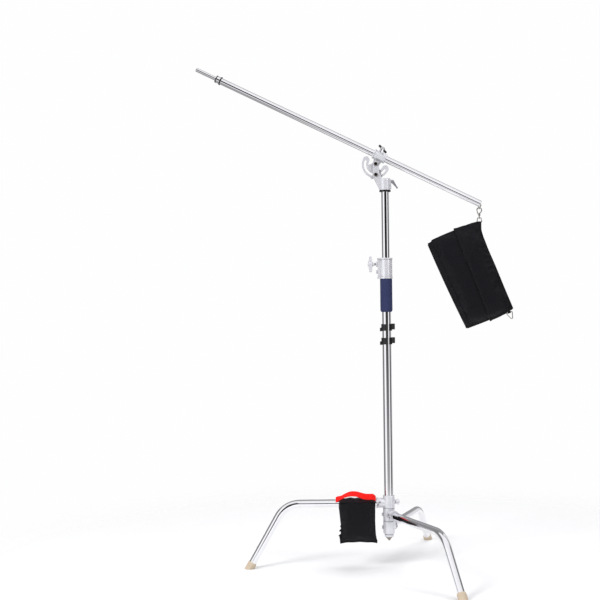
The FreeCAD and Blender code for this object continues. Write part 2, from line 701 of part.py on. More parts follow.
# ---------------------------------------------------------------- boom
def boom():
    """The boom tube, its spigot end, its tail plug and eye."""
    inner = BOOM_RADIUS - BOOM_WALL
    tail = BOOM_END - BOOM_PLUG_LENGTH
    nodes["boom_tube"] = on_boom(pipe(X * BOOM_FRONT, X, BOOM_RADIUS, inner, tail - BOOM_FRONT))
    plug = rod(X * tail, X, BOOM_RADIUS, BOOM_PLUG_LENGTH)
    plug = plug.makeFillet(1.5, [e for e in plug.Edges if e.BoundBox.XMin > BOOM_END - 1])
    nodes["boom_plug"] = on_boom(joined(plug, rod(X * (tail - 22.0), X, inner, 22.0)))

    bore = SPIGOT_RADIUS + 0.5
    collar = rod(X * COLLAR_FRONT, X, BOOM_RADIUS + 0.8, BOOM_FRONT - COLLAR_FRONT)
    collar = joined(collar, rod(X * BOOM_FRONT, X, inner, 30.0))
    for name, start, width, fillet in (
        ("front", COLLAR_FRONT + 1.0, 4.5, 1.5),
        ("rear", BOOM_FRONT - 6.0, 5.0, 2.0),
    ):
        radius = COLLAR_RINGS[name]
        ring = pipe(X * start, X, radius, COLLAR_GROOVE, width)
        collar = collar.cut(pipe(X * start, X, radius + 3.0, COLLAR_GROOVE, width))
        ring = ring.makeFillet(fillet, [e for e in ring.Edges if e.BoundBox.ZMax > radius - 0.2])
        nodes["collar_ring_" + name] = on_boom(ring)
    nodes["boom_collar"] = on_boom(collar.cut(rod(X * COLLAR_FRONT, X, bore, 80.0)))
    spigot = rod(X * SPIGOT_END, X, SPIGOT_RADIUS, COLLAR_FRONT - SPIGOT_END)
    spigot = spigot.makeChamfer(1.2, [e for e in spigot.Edges if e.BoundBox.XMax < SPIGOT_END + 1])
    nodes["boom_spigot"] = on_boom(joined(spigot, rod(X * COLLAR_FRONT, X, bore, 55.0)))

    eye_at = Vector(BOOM_END + EYE_GAP + EYE_WIRE, 0, -11.0)
    ring = Part.makeTorus(EYE_RING, EYE_WIRE, eye_at, X)
    stem = rod(Vector(BOOM_END, 0, -2.6), X, 2.2, EYE_GAP + EYE_WIRE + 1.2)
    nodes["boom_eye"] = on_boom(joined(ring, stem))
    wire = eye_at - Z * EYE_RING
    foot = PIVOT + BOOM_UP * BOOM_OFFSET
    return foot + BOOM_ALONG * wire.x + BOOM_UP * wire.z


# ---------------------------------------------------------------- hanging gear
def snap_hook(hang):
    """Hook body, gate and swivel eye, hung on the boom's eye. Returns the bag ring's bar centre."""
    lift = EYE_WIRE + CLEAR + HOOK_WIRE
    bow_z = lift - HOOK_BOW
    side = HOOK_BOW
    steps = [math.radians(angle) for angle in (0, 90, 180)]
    start, top, end = [Vector(side * math.cos(a), 0, bow_z + side * math.sin(a)) for a in steps]
    heel = Vector(side, 0, bow_z - 5.0)
    neck = Vector(1.5, 0, -18.5)
    arm = rounded_path([neck, heel, start], [5.0])
    edges = list(arm.Edges)
    edges.append(Part.Arc(start, top, end).toShape())
    edges.append(Part.makeLine(end, end - Z * 2.0))
    body = sweep(Part.Wire(edges), HOOK_WIRE, Y)
    barrel = rod(Z * BARREL_LOW, Z, *BARREL)
    barrel = barrel.makeChamfer(0.8, [e for e in barrel.Edges if len(e.Vertexes) == 1])
    ear = block((-6.5, 0.5), (-3.2, 3.2), (-21.5, -17.0))
    body = joined(body, barrel, ear)
    well = rod(Z * (BARREL_LOW - 1.0), Z, SWIVEL_SHANK + CLEAR, 8.0)
    gate_foot = Vector(-5.5, 0, -16.0)
    gate_top = end - Z * (2.0 + 1.1)
    run = gate_foot - gate_top
    gate = rod(gate_top, run, GATE_RADIUS, run.Length)
    thumb = rod(gate_foot + Vector(-1.0, -1.8, -0.4), Y, 2.2, 3.6)
    gate = joined(gate, thumb).cut(block((-6.5 - CLEAR, 1), (-3.6, 3.6), (-22, -17.0 + CLEAR)))
    foot_space = rod(gate_foot - Y * 4, Y, 3.0, 8.0)
    nodes["snap_hook"] = hollow(body, well, foot_space).translated(hang)
    nodes["snap_gate"] = gate.translated(hang)

    swivel = Part.makeTorus(SWIVEL_RING, RING_WIRE, Z * SWIVEL_DROP, X)
    shank = rod(Z * (SWIVEL_DROP + SWIVEL_RING - 1.0), Z, SWIVEL_SHANK, 9.0)
    flange = rod(Z * (BARREL_LOW - CLEAR - 1.8), Z, 3.4, 1.8)
    nodes["swivel_eye"] = joined(swivel, shank, flange).translated(hang)
    return hang + Z * (SWIVEL_DROP - SWIVEL_RING + 2 * RING_WIRE + CLEAR)


def wire_ring(bar, top_half, low_half, drop):
    """A trapezoid ring of wire whose top bar runs along X through bar."""
    points = [
        bar + Vector(-top_half, 0, 0),
        bar + Vector(top_half, 0, 0),
        bar + Vector(low_half, 0, -drop),
        bar + Vector(-low_half, 0, -drop),
    ]
    return sweep(rounded_path(points, [RING_CORNER] * 4, closed=True), RING_WIRE, Y)


def bag_frame(shape):
    """Move a shape from the bag's frame, X along its top edge, to its place."""
    copy = shape.copy()
    copy.Placement = Placement(BAG_CENTRE, Rotation(Y, -BAG_TILT)).multiply(copy.Placement)
    return copy


def counterweight(bar):
    """The ballast bag with its flap, rings, webbing tabs and inner ballast."""
    high = BAG_LENGTH / 2
    top = BAG_TOP_WIDTH / 2
    low = BAG_LOW_WIDTH / 2
    half = 60.0
    outline = prism([(-top, high), (top, high), (low, -high), (-low, -high)], half)
    corners = [e for e in outline.Edges if abs(e.Length - 2 * half) < 0.01]
    outline = outline.makeFillet(14.0, corners)
    side = [Vector(0, -depth, share * high) for depth, share in BAG_BELLY]
    mirror = [Vector(0, -p.y, p.z) for p in reversed(side)]
    front = Part.BSplineCurve()
    front.interpolate(side)
    rear = Part.BSplineCurve()
    rear.interpolate(mirror)
    rim = Part.Wire(
        [
            front.toShape(),
            Part.makeLine(side[-1], mirror[0]),
            rear.toShape(),
            Part.makeLine(mirror[-1], side[0]),
        ]
    )
    belly = Part.Face(rim).extrude(X * 300).translated(X * -150)
    bag = outline.common(belly)
    flap_zone = block((8.0, 200.0), (-80, 0), (-high * 0.97, high))
    flap = bag.translated(Y * -3.0).common(flap_zone).cut(bag)
    width, depth, tall = BALLAST_SIZE
    across, down = BALLAST_SHIFT
    ballast = Part.makeBox(width, depth, tall)
    ballast.translate(Vector(across - width / 2, -depth / 2, down - tall / 2))
    ballast = ballast.makeFillet(10.0, ballast.Edges)
    nodes["counterweight_bag"] = bag_frame(bag.cut(ballast))
    nodes["bag_flap"] = bag_frame(flap)
    nodes["bag_ballast"] = bag_frame(ballast)

    ring = wire_ring(bar, *TOP_RING)
    wide, thick = TOP_TAB
    drop = TOP_RING[2]
    tab = block((bar.x - wide, bar.x + wide), (-thick, thick), (bar.z - 46.0, bar.z - 13.0))
    tab = tab.makeFillet(2.0, [e for e in tab.Edges if e.BoundBox.ZMin > bar.z - 14])
    low_run = rod(Vector(bar.x - 20, 0, bar.z - drop), X, RING_WIRE, 40.0)
    tab = hollow(tab, low_run, ring, nodes["counterweight_bag"], nodes["bag_flap"])

    low_bar = Vector(low - LOW_RING_INSET, 0, -high - 8.0)
    low_ring = wire_ring(low_bar, *LOW_RING)
    wide, thick = LOW_TAB
    low_tab = block((low_bar.x - wide, low_bar.x + wide), (-thick, thick), (low_bar.z - 4.0, -high))
    low_tab = low_tab.cut(low_ring)
    nodes["bag_rings"] = Part.makeCompound([ring, bag_frame(low_ring)])
    nodes["bag_tabs"] = Part.makeCompound([tab, bag_frame(low_tab)])


# ---------------------------------------------------------------- saddle bag
def saddle_bag():
    """Two sand pouches that straddle the left leg, the yoke between them and the handle."""
    azimuth, height, _ = LEGS["left"]
    near = LEG_RADIUS + 0.8
    far = near + POUCH_THICK
    start = SADDLE_START
    end = SADDLE_END
    top = height + LEG_RADIUS - 3.0
    inset = SAND_INSET
    pieces = {}
    sands = []
    for name, sign in (("front", 1), ("rear", -1)):
        low_y, high_y = sorted((sign * near, sign * far))
        pouch = block((start, end), (low_y, high_y), (SADDLE_LOW, top))
        flat = [e for e in pouch.Edges if e.BoundBox.YLength < 0.1]
        outer = [e for e in flat if abs(e.BoundBox.YMin - sign * far) < 0.1]
        pouch = pouch.makeFillet(POUCH_ROUND, outer)
        across = (low_y + SAND_SKIN, high_y - SAND_SKIN)
        sand = block((start + inset, end - inset), across, (SADDLE_LOW + inset, top - 38.0))
        pieces["leg_bag_pouch_" + name] = pouch.cut(sand)
        sands.append(sand)
    pieces["leg_bag_sand"] = Part.makeCompound(sands)
    deck = height + near + YOKE_DEPTH
    yoke = block((start, end), (-far + 14.0, far - 14.0), (top, deck))
    pieces["leg_bag_yoke"] = yoke.cut(rod(Vector(0, 0, height), X, near, 300.0))
    wide, thick = STRAP
    arch = [
        Vector(start + 3.0, 0, deck + thick),
        Vector(start + 34.0, 0, deck + thick),
        Vector(start + 62.0, 0, deck + STRAP_RISE),
        Vector(start + 104.0, 0, deck + STRAP_RISE),
        Vector(end - 8.0, 0, deck + thick),
        Vector(end + 13.0, 0, deck + thick),
    ]
    path = rounded_path(arch, [25.0, 25.0, 25.0, 15.0])
    signs = ((-1, -1), (1, -1), (1, 1), (-1, 1), (-1, -1))
    strip = Part.makePolygon([arch[0] + Vector(0, wide * y, thick * z) for y, z in signs])
    maker = Part.BRepOffsetAPI.MakePipeShell(path)
    maker.setBiNormalMode(Y)
    maker.add(Part.Wire(strip))
    maker.build()
    maker.makeSolid()
    pieces["leg_bag_handle"] = maker.shape()
    for key, shape in pieces.items():
        nodes[key] = turned(shape, Z, azimuth)


def build():
    """Make every node in the order that the stand is put together."""
    for name in LEGS:
        leg_set(name)
    base_stack()
    hub_lock()
    column()
    for name, low in CLIP_LEVELS.items():
        nodes["cable_clip_" + name] = cable_clip(low)
    lock_collar()
    collar_knob()
    riser()
    head_socket()
    socket_lever()
    head_bolts()
    boom_clamp()
    boom_handle()
    hang = boom()
    counterweight(snap_hook(hang))
    saddle_bag()


build()
os.makedirs("parts", exist_ok=True)
for name, shape in nodes.items():
    solids = len(shape.Solids)
    print(f"{name:24s} solids {solids} valid {shape.isValid()} volume {shape.Volume / 1000:.1f} cm3")
    shape.exportStep("parts/" + name + ".step")
print(len(nodes), "nodes")
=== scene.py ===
import json
import math

import bpy
import numpy as np
from mathutils import Matrix, Vector, noise


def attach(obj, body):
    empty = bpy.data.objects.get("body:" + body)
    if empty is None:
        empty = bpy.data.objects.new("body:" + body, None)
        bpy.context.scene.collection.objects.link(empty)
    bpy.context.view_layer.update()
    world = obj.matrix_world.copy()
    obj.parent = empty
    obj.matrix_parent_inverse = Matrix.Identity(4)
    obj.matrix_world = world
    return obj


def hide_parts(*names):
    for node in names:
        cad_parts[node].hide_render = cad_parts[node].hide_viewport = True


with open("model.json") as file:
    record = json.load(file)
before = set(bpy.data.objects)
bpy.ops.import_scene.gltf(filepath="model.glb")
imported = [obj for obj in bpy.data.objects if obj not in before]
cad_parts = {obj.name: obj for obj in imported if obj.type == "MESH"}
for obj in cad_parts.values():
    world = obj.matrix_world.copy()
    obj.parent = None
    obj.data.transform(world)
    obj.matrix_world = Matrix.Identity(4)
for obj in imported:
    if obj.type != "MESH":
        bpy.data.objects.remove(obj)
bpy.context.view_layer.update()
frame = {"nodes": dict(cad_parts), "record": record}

# Looks of the C-stand. Blender's own values are metres, in the row frame. Shapes worked out in a local
# frame are in millimetres, and MM turns them into metres.
MM = 0.001

# ballast bag, in its own frame: X along the top edge, Y away from the front, Z up its length
BAG_PLACE = Matrix.Translation((0.3406, 0.0, 1.1502)) @ Matrix.Rotation(math.radians(-22.5), 4, "Y")
BAG_TOP = 113.0  # half the width at the top edge, and at the bottom
BAG_LOW = 99.0
BAG_HALF = 181.0  # half the length
BAG_WIDTH = 220.0
FLAP_LOW = 0.455  # the flap's free edge, as a share of the width from the left
FLAP_TOP = 0.510

# saddle bag, in the left leg's frame: X away from the column, Y to the front, Z up
LEG_PLACE = Matrix.Rotation(math.radians(183.8), 4, "Z")
LEG_HEIGHT = 255.5
LEG_RADIUS = 15.0
SADDLE_LOW = 107.5
SADDLE_TOP = 267.0
POUCH_MIDDLE = 32.8  # from the leg's axis to the middle of a pouch, at its bottom
YOKE_ENDS = (51.5, 196.5)
YOKE_HALF = 43.0  # from the leg's axis to the yoke's edge
YOKE_MIDDLE = 124.0
YOKE_REACH = 72.0  # from its middle to its ends

# sewing, in metres: the stitches' pitch, length and radius, and the flap's and hem's thickness
STITCHES = (0.0042, 0.0030, 0.00042)
HANDLE_STITCHES = (0.0040, 0.0028, 0.0004)
FLAP_THICK = 0.0012
HEM_THICK = 0.0009

# foam grip, in millimetres
GRIP_SIDES = 72
GRIP_RADIUS = 24.0

# cloth that is filled under pressure with its seams held
FILLING = {
    "quality": 6,
    "mass": 0.12,
    "tension_stiffness": 18.0,
    "compression_stiffness": 18.0,
    "shear_stiffness": 6.0,
    "bending_stiffness": 0.12,
    "use_pressure": True,
    "vertex_group_mass": "seam",
}

# viewpoint and lights, in metres, degrees and watts
CAMERA_PLACE = (0.0, -4.5, 1.065)
CAMERA_TURN = (-4.36, -0.03, -0.70)  # yaw, pitch and roll
CAMERA_LENS = 67.94
LIGHTS_AIM = (0, 0, 1.0)
LIGHTS = (
    # name, place, size, watts
    ("key", (-2.6, -3.0, 3.0), (1.4, 1.4), 120.0),
    ("fill", (3.0, -2.2, 1.9), (0.9, 1.6), 38.0),
    ("top", (0.3, 0.8, 3.6), (2.4, 2.4), 50.0),
)
FLOOR_RADIUS = 7.0
FLOOR_FADE = (0.8, 2.1)  # the floor fades into the backdrop between these distances
FLOOR_DEPTH = -0.0006  # just under the feet


# ---------------------------------------------------------------- materials
class Shader:
    """A Principled material and its node tree."""

    def __init__(self, name, **values):
        self.material = bpy.data.materials.new(name)
        self.material.use_nodes = True
        self.tree = self.material.node_tree
        self.bsdf = self.tree.nodes["Principled BSDF"]
        for key, value in values.items():
            self.bsdf.inputs[key.replace("_", " ")].default_value = value

    def node(self, kind, inputs=(), **settings):
        made = self.tree.nodes.new(kind)
        for key, value in settings.items():
            setattr(made, key, value)
        for key, value in dict(inputs).items():
            if isinstance(value, bpy.types.NodeSocket):
                self.tree.links.new(value, made.inputs[key])
            else:
                made.inputs[key].default_value = value
        return made

    def place(self, stretch=(1.0, 1.0, 1.0)):
        """Object coordinates in metres, stretched."""
        source = self.node("ShaderNodeTexCoord").outputs["Object"]
        return self.node("ShaderNodeMapping", {"Vector": source, "Scale": stretch}).outputs[0]

    def cloth_place(self):
        """The fabric's own flat coordinates in metres."""
        return self.node("ShaderNodeAttribute", attribute_name="cloth").outputs["Vector"]

    def noise(self, scale, detail=3.0, rough=0.5, vector=None):
        where = vector if vector is not None else self.place()
        values = {"Vector": where, "Scale": scale, "Detail": detail, "Roughness": rough}
        return self.node("ShaderNodeTexNoise", values).outputs[0]

    def spread(self, value, low, high, start=0.3, end=0.7):
        """A value from a texture, spread between low and high."""
        inputs = {"Value": value, "From Min": start, "From Max": end, "To Min": low, "To Max": high}
        return self.node("ShaderNodeMapRange", inputs).outputs[0]

    def blend(self, factor, first, second):
        made = self.node("ShaderNodeMix", data_type="RGBA")
        self.link(factor, made.inputs[0])
        for value, index in ((first, 6), (second, 7)):
            self.link(value, made.inputs[index])
        return made.outputs[2]

    def math(self, operation, first, second=0.0):
        made = self.node("ShaderNodeMath", operation=operation)
        for value, index in ((first, 0), (second, 1)):
            self.link(value, made.inputs[index])
        return made.outputs[0]

    def link(self, value, socket):
        """Links a node's output to the socket, or sets the socket to a number or a colour."""
        if isinstance(value, bpy.types.NodeSocket):
            self.tree.links.new(value, socket)
        elif socket.type == "RGBA" and len(value) == 3:
            socket.default_value = (*value, 1.0)
        else:
            socket.default_value = value

    def bump(self, height, strength, distance, normal=None):
        inputs = {"Height": height, "Strength": strength, "Distance": distance}
        if normal is not None:
            inputs["Normal"] = normal
        return self.node("ShaderNodeBump", inputs).outputs[0]

    def finish(self, colour=None, rough=None, normal=None):
        for value, key in ((colour, "Base Color"), (rough, "Roughness"), (normal, "Normal")):
            if value is not None:
                self.link(value, self.bsdf.inputs[key])
        return self.material


def plated(name, light, dark, low, high, edge=0.0):
    """Polished plating: faint smears, handling marks and, where it has edges, rounded ones."""
    s = Shader(name, Metallic=1.0)
    smear = s.noise(6.0, 4.0, 0.6)
    marks = s.noise(220.0, 2.0, 0.5, s.place((1.0, 1.0, 0.12)))
    colour = s.blend(s.spread(smear, 0.0, 1.0), light, dark)
    rough = s.math("ADD", s.spread(smear, low, high), s.spread(marks, 0.0, 0.015, 0.45, 0.75))
    soft = s.node("ShaderNodeBevel", {"Radius": edge}, samples=4).outputs[0] if edge else None
    return s.finish(colour, rough, soft)


def cast(name, light, dark, rough_low, rough_high, grain):
    """A bead-blasted casting with a faint orange-peel skin, its colour darkened with painted shade in its
    hollows and corners.
    """
    s = Shader(name, Metallic=0.35, Specular_IOR_Level=0.5)
    cloud = s.noise(28.0, 4.0, 0.6)
    skin = s.noise(grain, 3.0, 0.6)
    base = s.blend(s.spread(cloud, 0.0, 1.0), light, dark)
    # painted shade: ambient occlusion darkens the base colour towards a dark grey in hollows and corners
    unshaded_share = s.node("ShaderNodeAmbientOcclusion", {"Distance": 0.014}, samples=12).outputs["AO"]
    painted_hollow_shade = tuple(0.34 * value for value in dark)
    colour = s.blend(s.spread(unshaded_share, 0.0, 1.0, 0.15, 0.85), painted_hollow_shade, base)
    rough = s.spread(cloud, rough_low, rough_high)
    soft = s.node("ShaderNodeBevel", {"Radius": 0.0009}, samples=4).outputs[0]
    return s.finish(colour, rough, s.bump(skin, 0.1, 0.0003, soft))


def moulded(name, light, dark, low, high, grain, strength):
    """Moulded plastic or rubber with a fine texture."""
    s = Shader(name)
    cloud = s.noise(35.0, 3.0)
    skin = s.noise(grain, 2.0, 0.6)
    colour = s.blend(s.spread(cloud, 0.0, 1.0), light, dark)
    soft = s.node("ShaderNodeBevel", {"Radius": 0.0006}, samples=4).outputs[0]
    return s.finish(colour, s.spread(skin, low, high), s.bump(skin, strength, 0.0003, soft))


def foam(name):
    """Closed-cell foam: fine pores, their pits darkened with painted shade, and a soft, dull skin."""
    s = Shader(name, Sheen_Weight=0.04, Sheen_Roughness=0.6, Specular_IOR_Level=0.15)
    cloud = s.noise(22.0, 3.0)
    pores = s.node("ShaderNodeTexVoronoi", {"Vector": s.place(), "Scale": 900.0}).outputs[0]
    skin = s.noise(350.0, 3.0, 0.6)
    base = s.blend(s.spread(cloud, 0.0, 1.0), (0.031, 0.038, 0.100), (0.025, 0.031, 0.084))
    # painted shade: the colour is darkened in the pits at the pores' centres
    colour = s.blend(s.spread(pores, 0.35, 0.0, 0.0, 0.35), base, (0.016, 0.02, 0.062))
    height = s.math("ADD", pores, skin)
    return s.finish(colour, s.spread(skin, 0.72, 0.92), s.bump(height, 0.45, 0.0004))


def woven(name, thread, light, dark, sheen, pitch, strength):
    """A plain weave of warp and weft threads, pitch metres apart, in the cloth's own coordinates."""
    s = Shader(name, Sheen_Weight=sheen, Sheen_Roughness=0.45, Specular_IOR_Level=0.2)
    split = s.node("ShaderNodeSeparateXYZ", {"Vector": s.cloth_place()})
    turn = math.pi / pitch
    warp = s.math("SINE", s.math("MULTIPLY", split.outputs[0], turn))
    weft = s.math("SINE", s.math("MULTIPLY", split.outputs[1], turn))
    over = s.math("MULTIPLY", warp, weft)
    threads = s.math("MAXIMUM", s.math("ABSOLUTE", warp), s.math("ABSOLUTE", weft))
    height = s.math("ADD", s.math("MULTIPLY", over, 0.5), threads)
    cloud = s.noise(14.0, 4.0, 0.6)
    slub = s.noise(900.0, 2.0)
    base = s.blend(s.spread(cloud, 0.0, 1.0), light, dark)
    # painted highlight: the raised crossings of the weave are lightened towards the thread colour
    colour = s.blend(s.spread(over, 0.0, 0.55, -0.2, 1.0), base, thread)
    rough = s.spread(slub, 0.46, 0.62)
    return s.finish(colour, rough, s.bump(height, strength, pitch * 0.35))


def webbing(name, thread, light, dark, pitch):
    """Ribbed webbing: cords along the strap with a herringbone of cross threads."""
    s = Shader(name, Sheen_Weight=0.04, Sheen_Roughness=0.4, Specular_IOR_Level=0.2)
    split = s.node("ShaderNodeSeparateXYZ", {"Vector": s.cloth_place()})
    across, along = split.outputs[0], split.outputs[1]
    rib = s.math("SINE", s.math("MULTIPLY", across, math.pi / pitch))
    slant = s.math("ADD", along, s.math("MULTIPLY", s.math("ABSOLUTE", rib), pitch * 0.6))
    pick = s.math("SINE", s.math("MULTIPLY", slant, 2 * math.pi / (pitch * 0.8)))
    height = s.math("ADD", s.math("ABSOLUTE", rib), s.math("MULTIPLY", pick, 0.35))
    cloud = s.noise(30.0, 3.0)
    base = s.blend(s.spread(cloud, 0.0, 1.0), light, dark)
    # painted shade: the low grooves between the cords are darkened towards the thread colour
    colour = s.blend(s.spread(height, 0.45, 0.0, 0.0, 0.8), base, thread)
    return s.finish(colour, s.spread(cloud, 0.5, 0.68), s.bump(height, 0.5, pitch * 0.25))


MATERIALS = {
    "chrome": plated("chrome", (0.93, 0.93, 0.95), (0.85, 0.85, 0.87), 0.04, 0.085),
    "casting": cast("casting", (0.74, 0.74, 0.78), (0.65, 0.65, 0.69), 0.24, 0.36, 520.0),
    "steel": plated("steel", (0.56, 0.56, 0.58), (0.42, 0.42, 0.44), 0.20, 0.34, 0.0005),
    "nickel": plated("nickel", (0.60, 0.57, 0.53), (0.46, 0.44, 0.41), 0.12, 0.22, 0.0003),
    "worn_steel": plated("worn_steel", (0.34, 0.30, 0.26), (0.24, 0.21, 0.18), 0.26, 0.4, 0.0005),
    "dark_steel": plated("dark_steel", (0.10, 0.075, 0.055), (0.045, 0.036, 0.03), 0.28, 0.44, 0.0005),
    "black_plastic": moulded(
        "black_plastic", (0.009, 0.009, 0.01), (0.005, 0.005, 0.006), 0.34, 0.5, 700.0, 0.25
    ),
    "grey_metal": cast("grey_metal", (0.30, 0.30, 0.33), (0.20, 0.20, 0.23), 0.30, 0.45, 600.0),
    "white_plastic": moulded("white_plastic", (0.78, 0.78, 0.76), (0.7, 0.7, 0.68), 0.35, 0.5, 500.0, 0.1),
    "blue_foam": foam("blue_foam"),
    "beige_rubber": moulded("beige_rubber", (0.56, 0.46, 0.35), (0.46, 0.38, 0.28), 0.55, 0.75, 500.0, 0.3),
    "brass": plated("brass", (0.72, 0.52, 0.22), (0.58, 0.40, 0.15), 0.2, 0.32, 0.0004),
    "black_nylon": woven(
        "black_nylon", (0.006, 0.006, 0.009), (0.003, 0.003, 0.0048), (0.0018, 0.0018, 0.0032),
        0.012, 0.0007, 0.3,
    ),
    "red_webbing": webbing(
        "red_webbing", (0.55, 0.004, 0.003), (1.0, 0.014, 0.01), (0.9, 0.01, 0.008), 0.0016
    ),
    "black_webbing": webbing(
        "black_webbing", (0.002, 0.002, 0.002), (0.006, 0.006, 0.007), (0.004, 0.004, 0.005), 0.0014
    ),
    "thread": moulded("thread", (0.014, 0.014, 0.016), (0.009, 0.009, 0.01), 0.5, 0.7, 900.0, 0.2),
    "red_thread": moulded("red_thread", (0.5, 0.006, 0.005), (0.4, 0.005, 0.004), 0.5, 0.7, 900.0, 0.2),
    "sand": moulded("sand", (0.5, 0.42, 0.3), (0.42, 0.35, 0.24), 0.8, 0.95, 900.0, 0.8),
}

# small hardware whose plating is duller than the tubes'
DULLER = {"base_tip": "worn_steel"}
DULLER.update(dict.fromkeys(("snap_hook", "snap_gate", "swivel_eye", "bag_rings", "boom_eye"), "nickel"))

for part in frame["record"]["subparts"]:
    node = frame["nodes"][part["node"]]
    if not node.material_slots:
        node.data.materials.append(None)
    for held in node.material_slots:
        held.material = MATERIALS[DULLER.get(part["node"], part["material_slot"])]


# ---------------------------------------------------------------- mesh helpers
def mesh_object(name, points, faces, flat, material):
    """A smooth mesh from points in metres; flat gives each point's place on the flat cloth, in metres."""
    mesh = bpy.data.meshes.new(name)
    mesh.from_pydata([tuple(p) for p in points], [], faces)
    cloth = np.zeros((len(points), 3))
    cloth[:, :2] = flat
    mesh.attributes.new("cloth", "FLOAT_VECTOR", "POINT").data.foreach_set("vector", cloth.ravel())
    mesh.materials.append(MATERIALS[material])
    mesh.polygons.foreach_set("use_smooth", [True] * len(mesh.polygons))
    mesh.update()
    made = bpy.data.objects.new(name, mesh)
    bpy.context.scene.collection.objects.link(made)
    return made


def grid_faces(index):
    """Quads between the neighbours of a grid of point numbers."""
    corners = (index[:-1, :-1], index[:-1, 1:], index[1:, 1:], index[1:, :-1])
    return np.stack(corners, -1).reshape(-1, 4).tolist()


def placed(points, matrix):
    """Points in millimetres, in a local frame, as points in the row frame."""
    flat = np.asarray(points, float).reshape(-1, 3) * MM
    m = np.array(matrix, float)
    return flat @ m[:3, :3].T + m[:3, 3]


def smooth_step(x):
    x = np.clip(x, 0.0, 1.0)
    return x * x * (3 - 2 * x)


def curve_through(keys, at):
    """A smooth value at each place, through (place, value) keys."""
    places, values = zip(*keys)
    fine = np.linspace(places[0], places[-1], 400)
    line = np.interp(fine, places, values)
    width = 31
    kernel = np.hanning(width + 2)[1:-1]
    kernel /= kernel.sum()
    padded = np.concatenate([np.full(width // 2, line[0]), line, np.full(width // 2, line[-1])])
    return np.interp(at, fine, np.convolve(padded, kernel, "valid"))


def pillow(name, front, back, matrix, material):
    """A closed sewn form from two point grids that share their rim, in local millimetres."""
    rows, columns = front.shape[:2]
    index = np.arange(rows * columns).reshape(rows, columns)
    rear = index.copy()
    inner = (rows - 2) * (columns - 2)
    rear[1:-1, 1:-1] = rows * columns + np.arange(inner).reshape(rows - 2, columns - 2)
    points = np.concatenate([front.reshape(-1, 3), back[1:-1, 1:-1].reshape(-1, 3)])
    faces = grid_faces(index) + [face[::-1] for face in grid_faces(rear)]
    made = mesh_object(name, placed(points, matrix), faces, points[:, [0, 2]] * MM, material)
    rim = np.unique(np.concatenate([index[0], index[-1], index[:, 0], index[:, -1]]))
    made.vertex_groups.new(name="seam").add([int(i) for i in rim], 1.0, "REPLACE")
    held = set(int(i) for i in rim)
    sharp = [0.9 if set(edge.vertices) <= held else 0.0 for edge in made.data.edges]
    made.data.attributes.new("crease_edge", "FLOAT", "EDGE").data.foreach_set("value", sharp)
    return made, index, rear


def read_points(obj):
    flat = np.empty(len(obj.data.vertices) * 3, np.float64)
    obj.data.vertices.foreach_get("co", flat)
    return flat.reshape(-1, 3)


def write_points(obj, points):
    obj.data.vertices.foreach_set("co", np.asarray(points, np.float32).ravel())
    obj.data.update()


def inflate(obj, pressure, slack, cap):
    """Fill a sewn form: cloth under pressure, its seams held, no point moving further than cap metres."""
    frames = 20
    start = read_points(obj)
    cloth = obj.modifiers.new("cloth", "CLOTH")
    settings = cloth.settings
    for key, value in FILLING.items():
        setattr(settings, key, value)
    settings.shrink_min = -slack
    settings.uniform_pressure_force = pressure
    settings.effector_weights.gravity = 0.0
    cloth.collision_settings.use_collision = False
    cloth.collision_settings.use_self_collision = False
    cloth.point_cache.frame_start = 1
    cloth.point_cache.frame_end = frames
    scene = bpy.context.scene
    for step in range(1, frames + 1):
        scene.frame_set(step)
    graph = bpy.context.evaluated_depsgraph_get()
    filled = obj.evaluated_get(graph)
    end = np.empty(len(filled.data.vertices) * 3, np.float64)
    filled.data.vertices.foreach_get("co", end)
    move = end.reshape(-1, 3) - start
    reach = np.linalg.norm(move, axis=1, keepdims=True)
    move *= np.minimum(1.0, cap / np.maximum(reach, 1e-9))
    obj.modifiers.remove(cloth)
    scene.frame_set(1)
    write_points(obj, start + move)


def subdivide(obj):
    step = obj.modifiers.new("subdivision", "SUBSURF")
    step.levels = step.render_levels = 1
    return obj


def surface(obj, index):
    """A grid of a filled form, as a function of (row, column) shares that gives a point and its normal."""
    grid = read_points(obj)[index]
    down = np.gradient(grid, axis=0)
    across = np.gradient(grid, axis=1)
    normals = np.cross(across, down)
    normals /= np.maximum(np.linalg.norm(normals, axis=2, keepdims=True), 1e-12)
    rows, columns = index.shape

    def at(row, column):
        r = np.clip(row, 0, 1) * (rows - 1)
        c = np.clip(column, 0, 1) * (columns - 1)
        i, j = min(int(r), rows - 2), min(int(c), columns - 2)
        a, b = r - i, c - j
        corners = [
            (i, j, (1 - a) * (1 - b)), (i, j + 1, (1 - a) * b),
            (i + 1, j, a * (1 - b)), (i + 1, j + 1, a * b),
        ]
        point = sum(grid[p, q] * w for p, q, w in corners)
        normal = sum(normals[p, q] * w for p, q, w in corners)
        return point, normal / max(np.linalg.norm(normal), 1e-12)

    return at


def sheet_grid(name, grid, flat, material, thick, offset=1.0):
    """A sheet from a grid of points in metres, thick to one side."""
    index = np.arange(grid.shape[0] * grid.shape[1]).reshape(grid.shape[:2])
    made = mesh_object(name, grid.reshape(-1, 3), grid_faces(index), flat.reshape(-1, 2), material)
    solid = made.modifiers.new("thickness", "SOLIDIFY")
    solid.thickness = thick
    solid.offset = offset
    return subdivide(made)


def unit(vectors):
    return vectors / np.maximum(np.linalg.norm(vectors, axis=-1, keepdims=True), 1e-12)


def lengths_along(line):
    return np.concatenate([[0.0], np.cumsum(np.linalg.norm(np.diff(line, axis=0), axis=1))])


